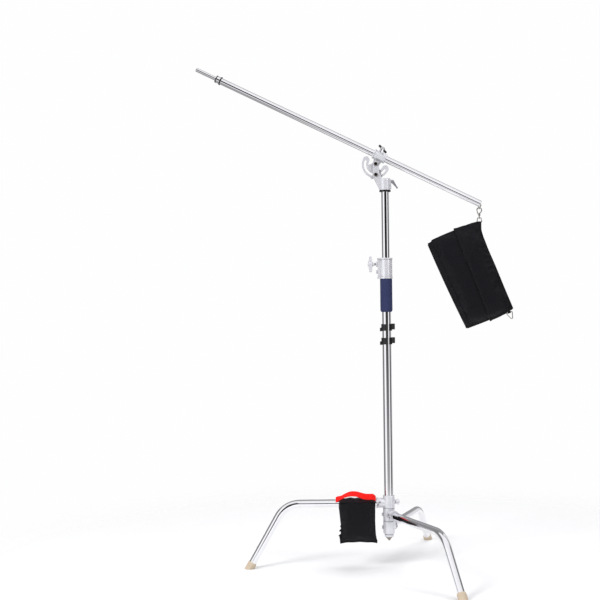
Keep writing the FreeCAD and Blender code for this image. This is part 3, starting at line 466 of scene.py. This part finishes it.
def ribbon(name, centres, sides, width, thick, material):
    """A strap through centres in metres, its width along sides; its edges are rounded and slightly proud."""
    centres = np.asarray(centres, float)
    sides = unit(np.asarray(sides, float))
    normals = unit(np.cross(unit(np.gradient(centres, axis=0)), sides))
    across = np.array([-1.0, -0.97, -0.85, -0.7, -0.35, 0.0, 0.35, 0.7, 0.85, 0.97, 1.0])
    lift = thick / 2 * np.array([0.4, 0.95, 1.12, 1.0, 1.0, 1.0, 1.0, 1.0, 1.12, 0.95, 0.4])
    across = np.concatenate([across, across[::-1]])
    lift = np.concatenate([lift, -lift[::-1]])
    ring = len(across)
    half = (np.zeros(len(centres)) + width) / 2
    offsets = sides[:, None] * (across[None, :] * half[:, None])[..., None]
    offsets = offsets + normals[:, None] * lift[None, :, None]
    points = (centres[:, None] + offsets).reshape(-1, 3)
    walked = np.repeat(lengths_along(centres), ring)
    flat = np.stack([(across[None, :] * half[:, None]).ravel(), walked], 1)
    index = np.arange(len(points)).reshape(len(centres), ring)
    faces = grid_faces(np.concatenate([index, index[:, :1]], 1))
    for row, order in ((index[0], 1), (index[-1], -1)):
        for k in range(ring // 2 - 1):
            corners = (row[k], row[k + 1], row[ring - 2 - k], row[ring - 1 - k])
            faces.append([int(i) for i in corners][::order])
    return subdivide(mesh_object(name, points, faces, flat, material))


def tube_mesh(line, radius, sides):
    """Points and faces of a closed round cord along a line, which may have its own radius at each point."""
    line = np.asarray(line, float)
    along = unit(np.gradient(line, axis=0))
    radius = np.zeros(len(line)) + radius
    points, faces = [], []
    guide = np.array([0.0, 1.0, 0.0])
    for centre, direction, reach in zip(line, along, radius):
        if abs(direction @ guide) > 0.9:
            guide = np.array([0.0, 0.0, 1.0])
        first = unit(np.cross(direction, guide))
        second = np.cross(direction, first)
        for k in range(sides):
            turn = 2 * math.pi * k / sides
            points.append(centre + reach * (math.cos(turn) * first + math.sin(turn) * second))
    index = np.arange(len(points)).reshape(len(line), sides)
    faces = grid_faces(np.concatenate([index, index[:, :1]], 1))
    faces.append([int(i) for i in index[0]][::-1])
    faces.append([int(i) for i in index[-1]])
    return points, faces


def piping(name, line, radius, material):
    """A welt or rolled seam along a line."""
    sides = 10
    points, faces = tube_mesh(line, radius, sides)
    flat = np.repeat(np.stack([lengths_along(np.asarray(line)), np.zeros(len(line))], 1), sides, axis=0)
    return mesh_object(name, points, faces, flat, material)


def stitches(name, rows, pitch, length, radius, material="thread"):
    """Sewn stitches along rows of (point, normal): short threads that dip in at each end."""
    points, faces = [], []
    for row in rows:
        line = np.array([p for p, _ in row])
        normals = np.array([n for _, n in row])
        walked = lengths_along(line)
        place = pitch / 2
        while place + length < walked[-1]:
            spots = place + length * np.linspace(0, 1, 5)
            rise = radius * np.array([-0.9, 0.45, 0.75, 0.45, -0.9])
            bead = np.stack([np.interp(spots, walked, line[:, k]) for k in range(3)], 1)
            up = np.stack([np.interp(spots, walked, normals[:, k]) for k in range(3)], 1)
            made, around = tube_mesh(bead + up * rise[:, None], radius, 6)
            first = len(points)
            points += made
            faces += [[first + k for k in face] for face in around]
            place += pitch
    return mesh_object(name, points, faces, np.zeros((len(points), 2)), material)


def wobble(x, y, z):
    """Smooth noise from -1 to 1, the same at each run."""
    return noise.noise(Vector((x, y, z)))


# ---------------------------------------------------------------- ballast bag
def bag_depth(v):
    """Half the filled bag's thickness at a share of its length from the bottom, in millimetres."""
    keys = [
        (0.0, 9.0), (0.05, 22.0), (0.15, 30.0), (0.375, 34.0),
        (0.6, 29.0), (0.8, 22.0), (0.93, 14.0), (1.0, 7.0),
    ]
    return curve_through(keys, v)


def fold_lift(x, z):
    """The soft folds that run down from the top edge to the middle, in millimetres."""
    folds = [
        # from, to, height, half width
        ((16.0, 184.0), (12.0, 116.0), 5.6, 7.5),
        ((32.0, 160.0), (2.0, 66.0), 6.0, 8.5),
        ((62.0, 122.0), (14.0, 56.0), 4.6, 8.5),
        ((88.0, 150.0), (46.0, 20.0), 3.2, 11.0),
        ((-60.0, 176.0), (-84.0, 90.0), 1.8, 12.0),
        ((-30.0, 110.0), (-46.0, -40.0), 1.6, 14.0),
        ((70.0, -20.0), (52.0, -150.0), 1.8, 12.0),
    ]
    total = 0.0
    for (ax, az), (bx, bz), height, width in folds:
        dx, dz = bx - ax, bz - az
        t = np.clip(((x - ax) * dx + (z - az) * dz) / (dx * dx + dz * dz), 0, 1)
        gap = np.hypot(x - ax - t * dx, z - az - t * dz)
        total = total + height * np.exp(-((gap / width) ** 2)) * np.sin(math.pi * (0.12 + 0.76 * t))
    return total


def gusset_share(v):
    """The right-hand corner seam's place, as a share of the width, at a share of the length."""
    return 1.0 - 0.13 * smooth_step(1.0 - v / 0.56)


def bag_outline(u, v):
    """The sewn outline in the bag's frame: across u from -1 to 1 and up v from 0 to 1, in millimetres."""
    half = BAG_LOW + (BAG_TOP - BAG_LOW) * v
    left = 4.0 - 4.5 * v**2 + 1.5 * np.sin(math.pi * v)
    keys = [(0, -6.5), (0.25, -9.3), (0.5, -11), (0.7, -14), (0.86, -14), (0.95, -10), (1, -7)]
    right = curve_through(keys, v)
    x = u * (half + np.where(u < 0, left, right))
    z = (2 * v - 1) * BAG_HALF
    bow = (7.0 * (1 - u**2) + 2.5 + 7.5 * ((1 - u) / 2) ** 2) * smooth_step((v - 0.75) / 0.25)
    hem = -4.0 * smooth_step((-u - 0.84) / 0.03) * smooth_step((v - 0.9) / 0.1)
    sag = -3.0 * np.cos(math.pi * u / 2) * smooth_step((0.2 - v) / 0.2)
    return x, z + bow + hem + sag


def ballast_bag():
    """The nylon ballast bag: filled body, flap, bindings, tabs and stitching."""
    rows, columns = 85, 57
    v = np.linspace(0, 1, rows)[:, None] + np.zeros((1, columns))
    u = np.linspace(-1, 1, columns)[None, :] + np.zeros((rows, 1))
    x, z = bag_outline(u, v)
    lean = np.where(u > 0, 6.0 - 2.6 * smooth_step(1 - v / 0.6), 4.5)
    edge = np.clip(1 - np.abs(u) ** lean, 0, 1) ** 0.62
    close = np.clip(np.minimum(v / 0.05, (1 - v) / 0.035), 0, 1) ** 0.5
    depth = 0.86 * bag_depth(v) * edge * close
    off_seam = ((u + 1) / 2 - gusset_share(v)) * BAG_WIDTH
    crease = 3.2 * np.exp(-((off_seam / 4.0) ** 2)) * smooth_step((0.62 - v) / 0.1)
    lift = fold_lift(x, z) * edge * close - crease * np.clip(edge * 2.5, 0, 1) * close
    front = np.stack([x, -depth - lift, z], 2)
    back = np.stack([x, depth + 0.5 * fold_lift(-x, z) * edge * close, z], 2)
    bag, index, rear = pillow("ballast_bag_body", front, back, BAG_PLACE, "black_nylon")
    inflate(bag, 3.5, 0.035, 0.0055)
    subdivide(bag)
    at = surface(bag, index)
    rear_at = surface(bag, rear)
    turn = BAG_PLACE.to_3x3()
    across, out = np.array(turn @ Vector((1, 0, 0))), np.array(turn @ Vector((0, 0, 1)))
    length = 2 * BAG_HALF * MM

    def on_front(v_share, u_share, lift_mm):
        point, normal = at(v_share, u_share)
        past = v_share - np.clip(v_share, 0, 1)
        return point + out * (past * length) + normal * (lift_mm * MM), normal

    # flap: a second layer over the front's right side, proud at the top and the bottom
    flap_rows, flap_columns = 95, 29
    grid = np.empty((flap_rows, flap_columns, 3))
    cloth = np.empty((flap_rows, flap_columns, 2))
    for i in range(flap_rows):
        share = -0.014 + 1.027 * i / (flap_rows - 1)
        free = FLAP_LOW + (FLAP_TOP - FLAP_LOW) * share
        for j in range(flap_columns):
            part = j / (flap_columns - 1)
            column = free + (gusset_share(share) - 0.012 - free) * part
            waves = 0.5 + 0.5 * math.sin(7.0 * share + 1.3) * math.sin(17.0 * share)
            proud = 1.2 + (1.8 + 2.4 * waves) * math.exp(-((part / 0.10) ** 2))
            proud += 0.5 * wobble(part * 3, share * 9, 1.7)
            proud += 1.2 * math.exp(-((min(share + 0.014, 1.013 - share) / 0.012) ** 2))
            grid[i, j] = on_front(share, column, proud)[0]
            cloth[i, j] = (column * BAG_WIDTH * MM, share * length)
    flap = sheet_grid("ballast_bag_flap", grid, cloth, "black_nylon", FLAP_THICK)

    # bindings: folded tape over the seams
    pieces = []
    for name, column, high in (("left", 0.0, 0.985), ("right", 1.0, 0.99)):
        rim = np.array([at(s, column)[0] for s in np.linspace(0.0, high, 70)])
        inward = across * (1 if column == 0 else -1)
        tape = (rim + inward * 0.0022, np.tile(inward, (70, 1)), 0.009, 0.0034)
        pieces.append(ribbon(f"ballast_bag_binding_{name}", *tape, "black_webbing"))
    for name, row, low, high, shift in (
        ("low", 0.0, 0.012, 0.988, 0.0022),
        ("top", 1.0, 0.08, 0.985, -0.003),
    ):
        rim = np.array([at(row, s)[0] for s in np.linspace(low, high, 60)]) + out * shift
        tape = (rim, np.tile(out, (60, 1)), 0.009, 0.0036)
        pieces.append(ribbon(f"ballast_bag_binding_{name}", *tape, "black_webbing"))

    # left hem: a strip folded on to the front
    hem = [
        [on_front(row, column, 0.6)[0] for column in np.linspace(0.004, 0.07, 6)]
        for row in np.linspace(0.004, 0.985, 70)
    ]
    flat = np.stack(np.meshgrid(np.linspace(0, 0.016, 6), np.linspace(0, length, 70)), 2)
    pieces.append(sheet_grid("ballast_bag_hem", np.array(hem), flat, "black_nylon", HEM_THICK))

    # welt along the right-hand corner seam, which opens towards the bottom
    line = [on_front(s, min(gusset_share(s), 0.985), 0.4)[0] for s in np.linspace(0.004, 0.56, 60)]
    pieces.append(piping("ballast_bag_welt", line, 0.0012, "black_webbing"))

    # stitching: beside the flap's free edge, along its ends, round the hems and on the back
    def row_of(places, lift_mm):
        return [on_front(row, column, lift_mm) for row, column in places]

    shares = np.linspace(-0.008, 1.006, 120)
    free = [FLAP_LOW + (FLAP_TOP - FLAP_LOW) * s for s in shares]
    threads = [
        row_of([(s, f + 0.014) for s, f in zip(shares, free)], 5.4),
        row_of([(s, f + 0.032) for s, f in zip(shares, free)], 4.6),
        row_of([(1.003, c) for c in np.linspace(FLAP_TOP + 0.04, 0.96, 60)], 3.0),
        row_of([(0.008, c) for c in np.linspace(FLAP_LOW + 0.04, 0.84, 60)], 3.0),
        row_of([(0.972, c) for c in np.linspace(0.09, FLAP_TOP - 0.02, 60)], 0.3),
        row_of([(0.024, c) for c in np.linspace(0.09, FLAP_LOW - 0.02, 60)], 0.3),
        row_of([(s, 0.066) for s in np.linspace(0.01, 0.98, 120)], 2.2),
        row_of([(s, gusset_share(s) + 0.02) for s in np.linspace(0.01, 0.36, 60)], 0.4),
    ]
    threads += [[rear_at(s, c) for s in np.linspace(0.03, 0.95, 120)] for c in (0.03, 0.97)]
    threads += [[rear_at(row, c) for c in np.linspace(0.03, 0.97, 80)] for row in (0.03, 0.965)]
    pieces.append(stitches("ballast_bag_stitches", threads, *STITCHES))

    # webbing tabs folded round the rings' bars
    top_bar = np.array([0.36899, 0.0, 1.36021])
    low_bar = np.array(BAG_PLACE @ Vector((0.074, 0.0, -0.189)))
    tabs = []
    loop = 0.0029
    for name, bar, up, side, width, reach in (
        ("top", top_bar, np.array([0.0, 0.0, 1.0]), np.array([1.0, 0.0, 0.0]), 0.015, 0.030),
        ("low", low_bar, -out, across, 0.013, 0.016),
    ):
        turns = np.linspace(0, math.pi, 13)
        path = [(-0.0026 - 0.0018 * t, -reach * t) for t in np.linspace(1, 0.12, 9)]
        path += [(-loop * math.cos(a), loop * math.sin(a)) for a in turns]
        path += [(0.0026 + 0.0018 * t, -reach * t) for t in np.linspace(0.12, 1, 9)]
        centres = np.array([bar + np.array([0.0, y, 0.0]) + up * h for y, h in path])
        sides = np.tile(side, (len(centres), 1))
        tabs.append(ribbon(f"ballast_bag_tab_{name}", centres, sides, width, 0.0014, "black_webbing"))

    for piece in (bag, flap, *pieces, *tabs):
        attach(piece, "counterweight")
    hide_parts("counterweight_bag", "bag_ballast")
    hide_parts("bag_flap")
    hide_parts("bag_tabs")


# ---------------------------------------------------------------- saddle bag
def pouch_sides(v):
    """The pouch's side seams at a share of its height: the one near the column and the far one."""
    near = [(0.0, 49.0), (0.04, 49.5), (0.12, 55.0), (0.5, 57.5), (0.85, 56.5), (1.0, 55.0)]
    far = [(0, 195.5), (0.04, 196.0), (0.1, 190.0), (0.3, 189.0), (0.5, 192.0), (0.85, 197.5), (1, 197.0)]
    return curve_through(near, v), curve_through(far, v)


def crown(r):
    """The height of the yoke's top over the leg, in millimetres."""
    keys = [
        (51, 273.6), (60, 274.4), (72, 273.8), (84, 275.2), (100, 274.2), (112, 276.4), (122, 277.0),
        (132, 275.2), (141, 276.2), (151, 278.4), (160, 276.4), (172, 273.8), (184, 275.4), (197, 273.4),
    ]
    return np.interp(r, *zip(*keys))


def pouch(name, sign):
    """One sand pouch: a filled form with its outer face away from the leg."""
    rows, columns = 47, 41
    v = np.linspace(0, 1, rows)[:, None] + np.zeros((1, columns))
    u = np.linspace(-1, 1, columns)[None, :] + np.zeros((rows, 1))
    near, far = pouch_sides(v)
    r = (near + far) / 2 + sign * u * (near - far) / 2
    bottom = SADDLE_LOW + 4.0 * (1 - u**2) + 0.6 * np.sin(9.0 * u + sign)
    z = bottom + (SADDLE_TOP - bottom) * v
    edge = np.clip(1 - np.abs(u) ** 4.0, 0, 1) ** 0.55
    close = np.clip(np.minimum(v / 0.09, (1.06 - v) / 0.12), 0, 1) ** 0.5
    fill = curve_through([(0.0, 9.0), (0.15, 14.5), (0.45, 14.0), (0.8, 11.0), (1.0, 8.0)], v)
    fill = fill * edge * close
    folds = 0.0
    upper = smooth_step((v - 0.35) / 0.4)
    for place, lean, height in ((-0.62, 0.10, 1.3), (-0.2, -0.12, 0.9), (0.34, 0.1, 1.2), (0.74, -0.05, 1.0)):
        folds = folds + height * np.exp(-(((u - place - lean * v) / 0.10) ** 2)) * upper
    folds = folds * edge * close
    middle = sign * (POUCH_MIDDLE - 1.5 * v)
    outer = np.stack([r, middle + sign * (fill + folds), z], 2)
    inner = np.stack([r, middle - sign * np.minimum(fill, 14.5), z], 2)
    made, index, rear = pillow(f"saddle_bag_pouch_{name}", outer, inner, LEG_PLACE, "black_nylon")
    inflate(made, 3.0, 0.03, 0.0025)
    return subdivide(made), surface(made, index), surface(made, rear)


def saddle_point(r, y, z):
    """A place in the leg's frame, in millimetres, as a point in the row frame."""
    return placed([(r, y, z)], LEG_PLACE)[0]


def saddle_bag():
    """Two sand pouches astride the leg, their yoke, hems, ruffled edge and red webbing handle."""
    down = np.array([0.0, 0.0, -1.0])
    front_way = np.array(LEG_PLACE.to_3x3() @ Vector((0, 1, 0)))
    pieces, threads, pouches = [], [], []
    for name, sign in (("front", 1), ("rear", -1)):
        made, at, rear_at = pouch(name, sign)
        pouches.append(made)
        # flat hem under the pouch
        shares = np.linspace(0.0, 1.0, 60)
        rim = np.array([at(0.0, s)[0] for s in shares])
        flare = np.array([0.0006 + 0.0004 * abs(2 * s - 1) ** 6 for s in shares])
        hem = rim + down * flare[:, None]
        widths = 0.0078 + 0.0012 * np.abs(2 * shares - 1) ** 8
        sides = np.tile(down, (60, 1))
        pieces.append(ribbon(f"saddle_bag_hem_{name}", hem, sides, widths, 0.0026, "black_nylon"))
        for side in (0.0, 1.0):
            seam = np.array([at(s, side)[0] for s in np.linspace(0.02, 0.98, 60)])
            pieces.append(piping(f"saddle_bag_seam_{name}_{int(side)}", seam, 0.0012, "black_webbing"))
        threads += [[at(s, c) for s in np.linspace(0.05, 0.96, 90)] for c in (0.05, 0.95)]
        threads += [[at(row, c) for c in np.linspace(0.05, 0.95, 80)] for row in (0.05, 0.955)]
        threads += [[rear_at(0.05, c) for c in np.linspace(0.05, 0.95, 80)]]

    # ruffled seam allowance on the front pouch's far edge
    rows, columns = 90, 5
    tips = ((0.298, 10.0, 0.046), (0.182, 12.5, 0.052), (0.395, 4.5, 0.036))
    ruffle = np.empty((rows, columns, 3))
    flat = np.empty((rows, columns, 2))
    for i, share in enumerate(np.linspace(0.05, 0.46, rows)):
        far = float(pouch_sides(share)[1])
        height = SADDLE_LOW + (SADDLE_TOP - SADDLE_LOW) * share
        reach = 0.9 + sum(size * max(0.0, 1 - abs(share - place) / width) for place, size, width in tips)
        for j in range(columns):
            part = j / (columns - 1)
            flutter = 1.6 * part * math.sin(90 * share) + 0.8 * wobble(share * 30, part, 0.0)
            droop = -2.2 * part * reach / 6.0
            outward = far - 1.5 + part * (reach + 1.5)
            ruffle[i, j] = saddle_point(outward, POUCH_MIDDLE + flutter, height + droop)
            flat[i, j] = (part * 0.008, height * MM)
    pieces.append(sheet_grid("saddle_bag_ruffle", ruffle, flat, "black_nylon", 0.0010, 0.0))

    # yoke: over the tube, from one pouch's top to the other's
    rows, columns = 53, 73
    across = np.linspace(-1, 1, rows)
    along = np.linspace(*YOKE_ENDS, columns)
    points = np.empty((rows, columns, 3))
    over = LEG_RADIUS + 1.3
    for i, part in enumerate(across):
        y = YOKE_HALF * part
        blend = smooth_step((abs(part) - 0.18) / 0.75)
        for j, r in enumerate(along):
            high = float(crown(r)) - 1.6
            low = SADDLE_TOP - 1.0 + 0.6 * math.sin(r * 0.21)
            z = high * (1 - blend) + low * blend + 0.5 * wobble(r * 0.06, y * 0.05, 2.0)
            if abs(y) < over:
                z = max(z, LEG_HEIGHT + math.sqrt(over * over - y * y) + 0.8)
            pull = 1.2 * math.sin(math.pi * abs(part)) * (r - YOKE_MIDDLE) / YOKE_REACH
            points[i, j] = (r - pull, y, z)
    flat = points[..., :2] * MM
    grid = placed(points, LEG_PLACE).reshape(rows, columns, 3)
    yoke = sheet_grid("saddle_bag_yoke", grid, flat, "black_nylon", 0.0016, -1.0)
    rolled = [
        piping(f"saddle_bag_yoke_edge_{name}", grid[:, column], 0.0013, "black_webbing")
        for name, column in (("near", 1), ("far", -2))
    ]

    # red webbing handle: it lies tilted over the yoke, twists, and shows its face in front
    keys = np.array([
        # distance along the leg, to the front, up, and how far its face is tipped back in degrees
        (211.5, 13.0, 271.0, 16.0),
        (206.0, 12.5, 272.8, 26.0),
        (198.0, 10.0, 275.4, 50.0),
        (188.0, 7.0, 278.6, 63.0),
        (176.0, 4.0, 284.4, 61.0),
        (163.0, 3.0, 289.6, 53.0),
        (149.0, 3.0, 292.4, 45.0),
        (134.0, 4.0, 292.2, 44.0),
        (121.0, 6.5, 290.0, 38.0),
        (110.0, 12.0, 286.6, 24.0),
        (100.0, 18.5, 284.6, 10.0),
        (88.0, 23.0, 283.2, 6.0),
        (74.0, 24.0, 283.4, 6.0),
        (63.5, 22.0, 283.0, 12.0),
        (56.5, 19.0, 279.0, 22.0),
        (52.5, 17.0, 274.6, 30.0),
    ])
    stations = lengths_along(keys[:, :3])
    where = np.linspace(0, stations[-1], 110)
    route = np.stack([curve_through(list(zip(stations, keys[:, k])), where) for k in range(4)], 1)
    centres = placed(route[:, :3], LEG_PLACE)
    tip = np.radians(route[:, 3] + 3.0 * np.sin(where / 21.0))
    sides = np.cos(tip)[:, None] * -down[None, :] - np.sin(tip)[:, None] * front_way[None, :]
    widths = 0.024 - 0.003 * np.exp(-((where - where[-1]) / 9.0) ** 2) - 0.004 * np.exp(-(where / 9.0) ** 2)
    handle = ribbon("saddle_bag_handle", centres, sides, widths, 0.0030, "red_webbing")
    normals = unit(np.cross(unit(np.gradient(centres, axis=0)), sides))
    normals *= np.sign(np.sum(normals * front_way, axis=1, keepdims=True))
    # its stitches: a row by each edge, and a cross at each end
    reds = []
    for offset in (-0.0095, 0.0095):
        line = centres + sides * offset + normals * 0.0016
        reds.append(list(zip(line[4:-4], normals[4:-4])))
    for first, last in ((3, 16), (94, 107)):
        for a, b in ((-0.008, 0.008), (0.008, -0.008)):
            part = np.linspace(0, 1, last - first)[:, None]
            line = centres[first:last] + sides[first:last] * (a + (b - a) * part)
            line = line + normals[first:last] * 0.0017
            reds.append(list(zip(line, normals[first:last])))
    red = stitches("saddle_bag_handle_stitches", reds, *HANDLE_STITCHES, "red_thread")
    pieces.append(stitches("saddle_bag_stitches", threads, *STITCHES))

    for piece in (*pouches, yoke, *rolled, *pieces, handle, red):
        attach(piece, "leg_bag")
    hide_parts("leg_bag_pouch_front", "leg_bag_sand")
    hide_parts("leg_bag_pouch_rear")
    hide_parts("leg_bag_yoke")
    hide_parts("leg_bag_handle")


# ---------------------------------------------------------------- foam grip
def foam_grip():
    """The foam sleeve: a turned form with a soft chamfer at the bottom and faint hand wear."""
    profile = [
        # radius and height in millimetres, up the outside and down the bore
        (18.4, 1011.2), (19.6, 1011.0), (20.6, 1011.9),
        (22.4, 1014.4), (23.6, 1016.8), (GRIP_RADIUS, 1019.5),
    ]
    profile += [(GRIP_RADIUS, z) for z in np.linspace(1024.0, 1138.0, 39)]
    profile += [(23.9, 1141.0), (23.4, 1142.6), (22.2, 1143.1), (18.4, 1143.0)]
    profile += [(17.9, z) for z in np.linspace(1138.0, 1016.0, 12)]
    points, flat = [], []
    for radius, z in profile:
        for k in range(GRIP_SIDES):
            turn = 2 * math.pi * k / GRIP_SIDES
            outward = Vector((math.cos(turn), math.sin(turn), 0.0))
            soft = 0.0
            if radius > 21.0:
                soft = 0.16 * wobble(outward.x * 2.2, outward.y * 2.2, z * 0.035)
                soft += 0.05 * wobble(outward.x * 9.0, outward.y * 9.0, z * 0.21)
            points.append(((radius + soft) * outward.x, (radius + soft) * outward.y, z))
            flat.append((turn * GRIP_RADIUS * MM, z * MM))
    index = np.arange(len(points)).reshape(len(profile), GRIP_SIDES)
    closed = np.concatenate([index, index[:, :1]], 1)
    closed = np.concatenate([closed, closed[:1]], 0)
    grip = mesh_object("foam_grip", np.array(points) * MM, grid_faces(closed), flat, "blue_foam")
    subdivide(grip)
    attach(grip, "column")
    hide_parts("grip_sleeve")


ballast_bag()
saddle_bag()
foam_grip()


# ---------------------------------------------------------------- stage
def camera():
    """The viewpoint: level with the column's middle, turned slightly to the left."""
    yaw, pitch, roll = (math.radians(a) for a in CAMERA_TURN)
    right = Vector((math.cos(yaw), -math.sin(yaw), 0))
    level = Vector((math.sin(yaw), math.cos(yaw), 0))
    forward = level * math.cos(pitch) + Vector((0, 0, math.sin(pitch)))
    down = forward.cross(right)
    x_axis = right * math.cos(roll) - down * math.sin(roll)
    y_axis = -(right * math.sin(roll) + down * math.cos(roll))
    matrix = Matrix((x_axis, y_axis, -forward)).transposed().to_4x4()
    matrix.translation = CAMERA_PLACE
    data = bpy.data.cameras.new("camera")
    data.lens = CAMERA_LENS
    data.sensor_width = 36.0
    data.clip_start = 0.05
    data.clip_end = 100.0
    made = bpy.data.objects.new("camera", data)
    made.matrix_world = matrix
    bpy.context.scene.collection.objects.link(made)
    bpy.context.scene.camera = made


def studio():
    """A white studio: bright all round, with the dark gaps that draw lines on the chrome."""
    world = bpy.data.worlds.new("studio")
    bpy.context.scene.world = world
    world.use_nodes = True
    tree = world.node_tree
    nodes, links = tree.nodes, tree.links
    nodes.clear()
    where = nodes.new("ShaderNodeTexCoord")
    split = nodes.new("ShaderNodeSeparateXYZ")
    links.new(where.outputs["Generated"], split.inputs[0])

    def arithmetic(operation, *values):
        made = nodes.new("ShaderNodeMath")
        made.operation = operation
        for socket, value in zip(made.inputs, values):
            if isinstance(value, bpy.types.NodeSocket):
                links.new(value, socket)
            else:
                socket.default_value = value
        return made.outputs[0]

    def spread(value, low, high):
        made = nodes.new("ShaderNodeMapRange")
        made.interpolation_type = "SMOOTHSTEP"
        links.new(value, made.inputs["Value"])
        made.inputs["From Min"].default_value = low
        made.inputs["From Max"].default_value = high
        return made.outputs[0]

    def mixed(factor, first, second):
        made = nodes.new("ShaderNodeMix")
        made.data_type = "RGBA"
        for value, socket in ((factor, made.inputs[0]), (first, made.inputs[6]), (second, made.inputs[7])):
            if isinstance(value, bpy.types.NodeSocket):
                links.new(value, socket)
            else:
                socket.default_value = value
        return made.outputs[2]

    height = split.outputs["Z"]
    away = arithmetic("MULTIPLY", split.outputs["Y"], -1.0)
    azimuth = arithmetic("ARCTAN2", split.outputs["X"], away)
    share = arithmetic("MULTIPLY_ADD", azimuth, 0.5 / math.pi, 0.5)
    ramp = nodes.new("ShaderNodeValToRGB")
    links.new(share, ramp.inputs[0])
    # degrees round from behind the camera, towards the boom's low end, and the brightness there
    bands = [
        (-180, 0.32), (-128, 0.26), (-82, 0.17), (-74, 1.05), (-10, 1.1),
        (64, 1.1), (71, 0.12), (122, 0.18), (130, 0.8), (146, 0.8), (156, 0.34), (180, 0.32),
    ]
    elements = ramp.color_ramp.elements
    elements[0].position, elements[1].position = 0.0, 1.0
    for _ in bands[1:-1]:
        elements.new(0.5)
    for element, (angle, value) in zip(elements, bands):
        element.position = (angle + 180) / 360
        element.color = (value, value, value * 1.02, 1.0)
    # the pale ceiling comes less far down behind the stand, and the ground is a darker grey
    behind = spread(arithmetic("ABSOLUTE", azimuth), math.radians(100), math.radians(126))
    lowered = arithmetic("MULTIPLY_ADD", behind, -0.42, height)
    around = mixed(spread(lowered, 0.52, 0.74), ramp.outputs[0], (0.95, 0.95, 0.97, 1.0))
    around = mixed(spread(height, -0.30, -0.62), around, (0.36, 0.36, 0.37, 1.0))
    # a dark gap in front, level with the camera and fading towards the ground; its left part is taller
    left = spread(azimuth, math.radians(-30), math.radians(-23))
    right = spread(azimuth, math.radians(46), math.radians(38))
    gap = arithmetic("MULTIPLY", left, right)
    taller = spread(azimuth, math.radians(4), math.radians(-4))
    reach = arithmetic("MULTIPLY_ADD", taller, -0.34, height)
    level = arithmetic("MULTIPLY", spread(height, -0.45, 0.03), spread(reach, 0.27, 0.21))
    around = mixed(arithmetic("MULTIPLY", gap, level), around, (0.02, 0.018, 0.017, 1.0))
    lit = nodes.new("ShaderNodeBackground")
    links.new(around, lit.inputs[0])
    pale = nodes.new("ShaderNodeBackground")
    pale.inputs[0].default_value = (0.992, 0.992, 0.995, 1.0)
    path = nodes.new("ShaderNodeLightPath")
    chosen = nodes.new("ShaderNodeMixShader")
    links.new(path.outputs["Is Camera Ray"], chosen.inputs[0])
    links.new(lit.outputs[0], chosen.inputs[1])
    links.new(pale.outputs[0], chosen.inputs[2])
    output = nodes.new("ShaderNodeOutputWorld")
    links.new(chosen.outputs[0], output.inputs[0])


def softbox(name, at, size, watts):
    """A large soft lamp aimed at the middle of the stand."""
    light = bpy.data.lights.new(name, "AREA")
    light.shape = "RECTANGLE"
    light.size, light.size_y = size
    light.energy = watts
    made = bpy.data.objects.new(name, light)
    made.location = at
    made.rotation_mode = "QUATERNION"
    made.rotation_quaternion = (Vector(LIGHTS_AIM) - Vector(at)).to_track_quat("-Z", "Y")
    # the chrome mirrors the studio's walls only; a lamp's image in it would be a clipped, jagged line
    made.visible_glossy = False
    bpy.context.scene.collection.objects.link(made)


def floor():
    """A pale floor that fades into the backdrop."""
    rings, sides = 24, 64
    points = [(0.0, 0.0, FLOOR_DEPTH)]
    for ring in range(1, rings + 1):
        reach = FLOOR_RADIUS * (ring / rings) ** 1.6
        for k in range(sides):
            turn = 2 * math.pi * k / sides
            points.append((reach * math.cos(turn), reach * math.sin(turn), FLOOR_DEPTH))
    faces = [[0, 1 + k, 1 + (k + 1) % sides] for k in range(sides)]
    for ring in range(rings - 1):
        for k in range(sides):
            a, b = 1 + ring * sides + k, 1 + ring * sides + (k + 1) % sides
            faces.append([a, a + sides, b + sides, b])
    mesh = bpy.data.meshes.new("floor")
    mesh.from_pydata(points, [], faces)
    made = bpy.data.objects.new("floor", mesh)
    bpy.context.scene.collection.objects.link(made)
    s = Shader("floor", Roughness=0.85, Specular_IOR_Level=0.1)
    s.link((0.82, 0.82, 0.825), s.bsdf.inputs["Base Color"])
    grain = s.noise(3.0, 3.0)
    s.link(s.spread(grain, 0.8, 0.9), s.bsdf.inputs["Roughness"])
    away = s.node("ShaderNodeVectorMath", {0: s.place()}, operation="LENGTH").outputs["Value"]
    span = {"Value": away, "From Min": FLOOR_FADE[0], "From Max": FLOOR_FADE[1]}
    fade = s.node("ShaderNodeMapRange", span, interpolation_type="SMOOTHSTEP")
    clear = s.node("ShaderNodeBsdfTransparent")
    mixed = s.node("ShaderNodeMixShader", {0: fade.outputs[0], 1: s.bsdf.outputs[0], 2: clear.outputs[0]})
    s.tree.links.new(mixed.outputs[0], s.tree.nodes["Material Output"].inputs[0])
    mesh.materials.append(s.material)


camera()
studio()
for light in LIGHTS:
    softbox(*light)
floor()
bpy.context.scene.view_settings.view_transform = "Standard"
bpy.context.scene.view_settings.look = "None"
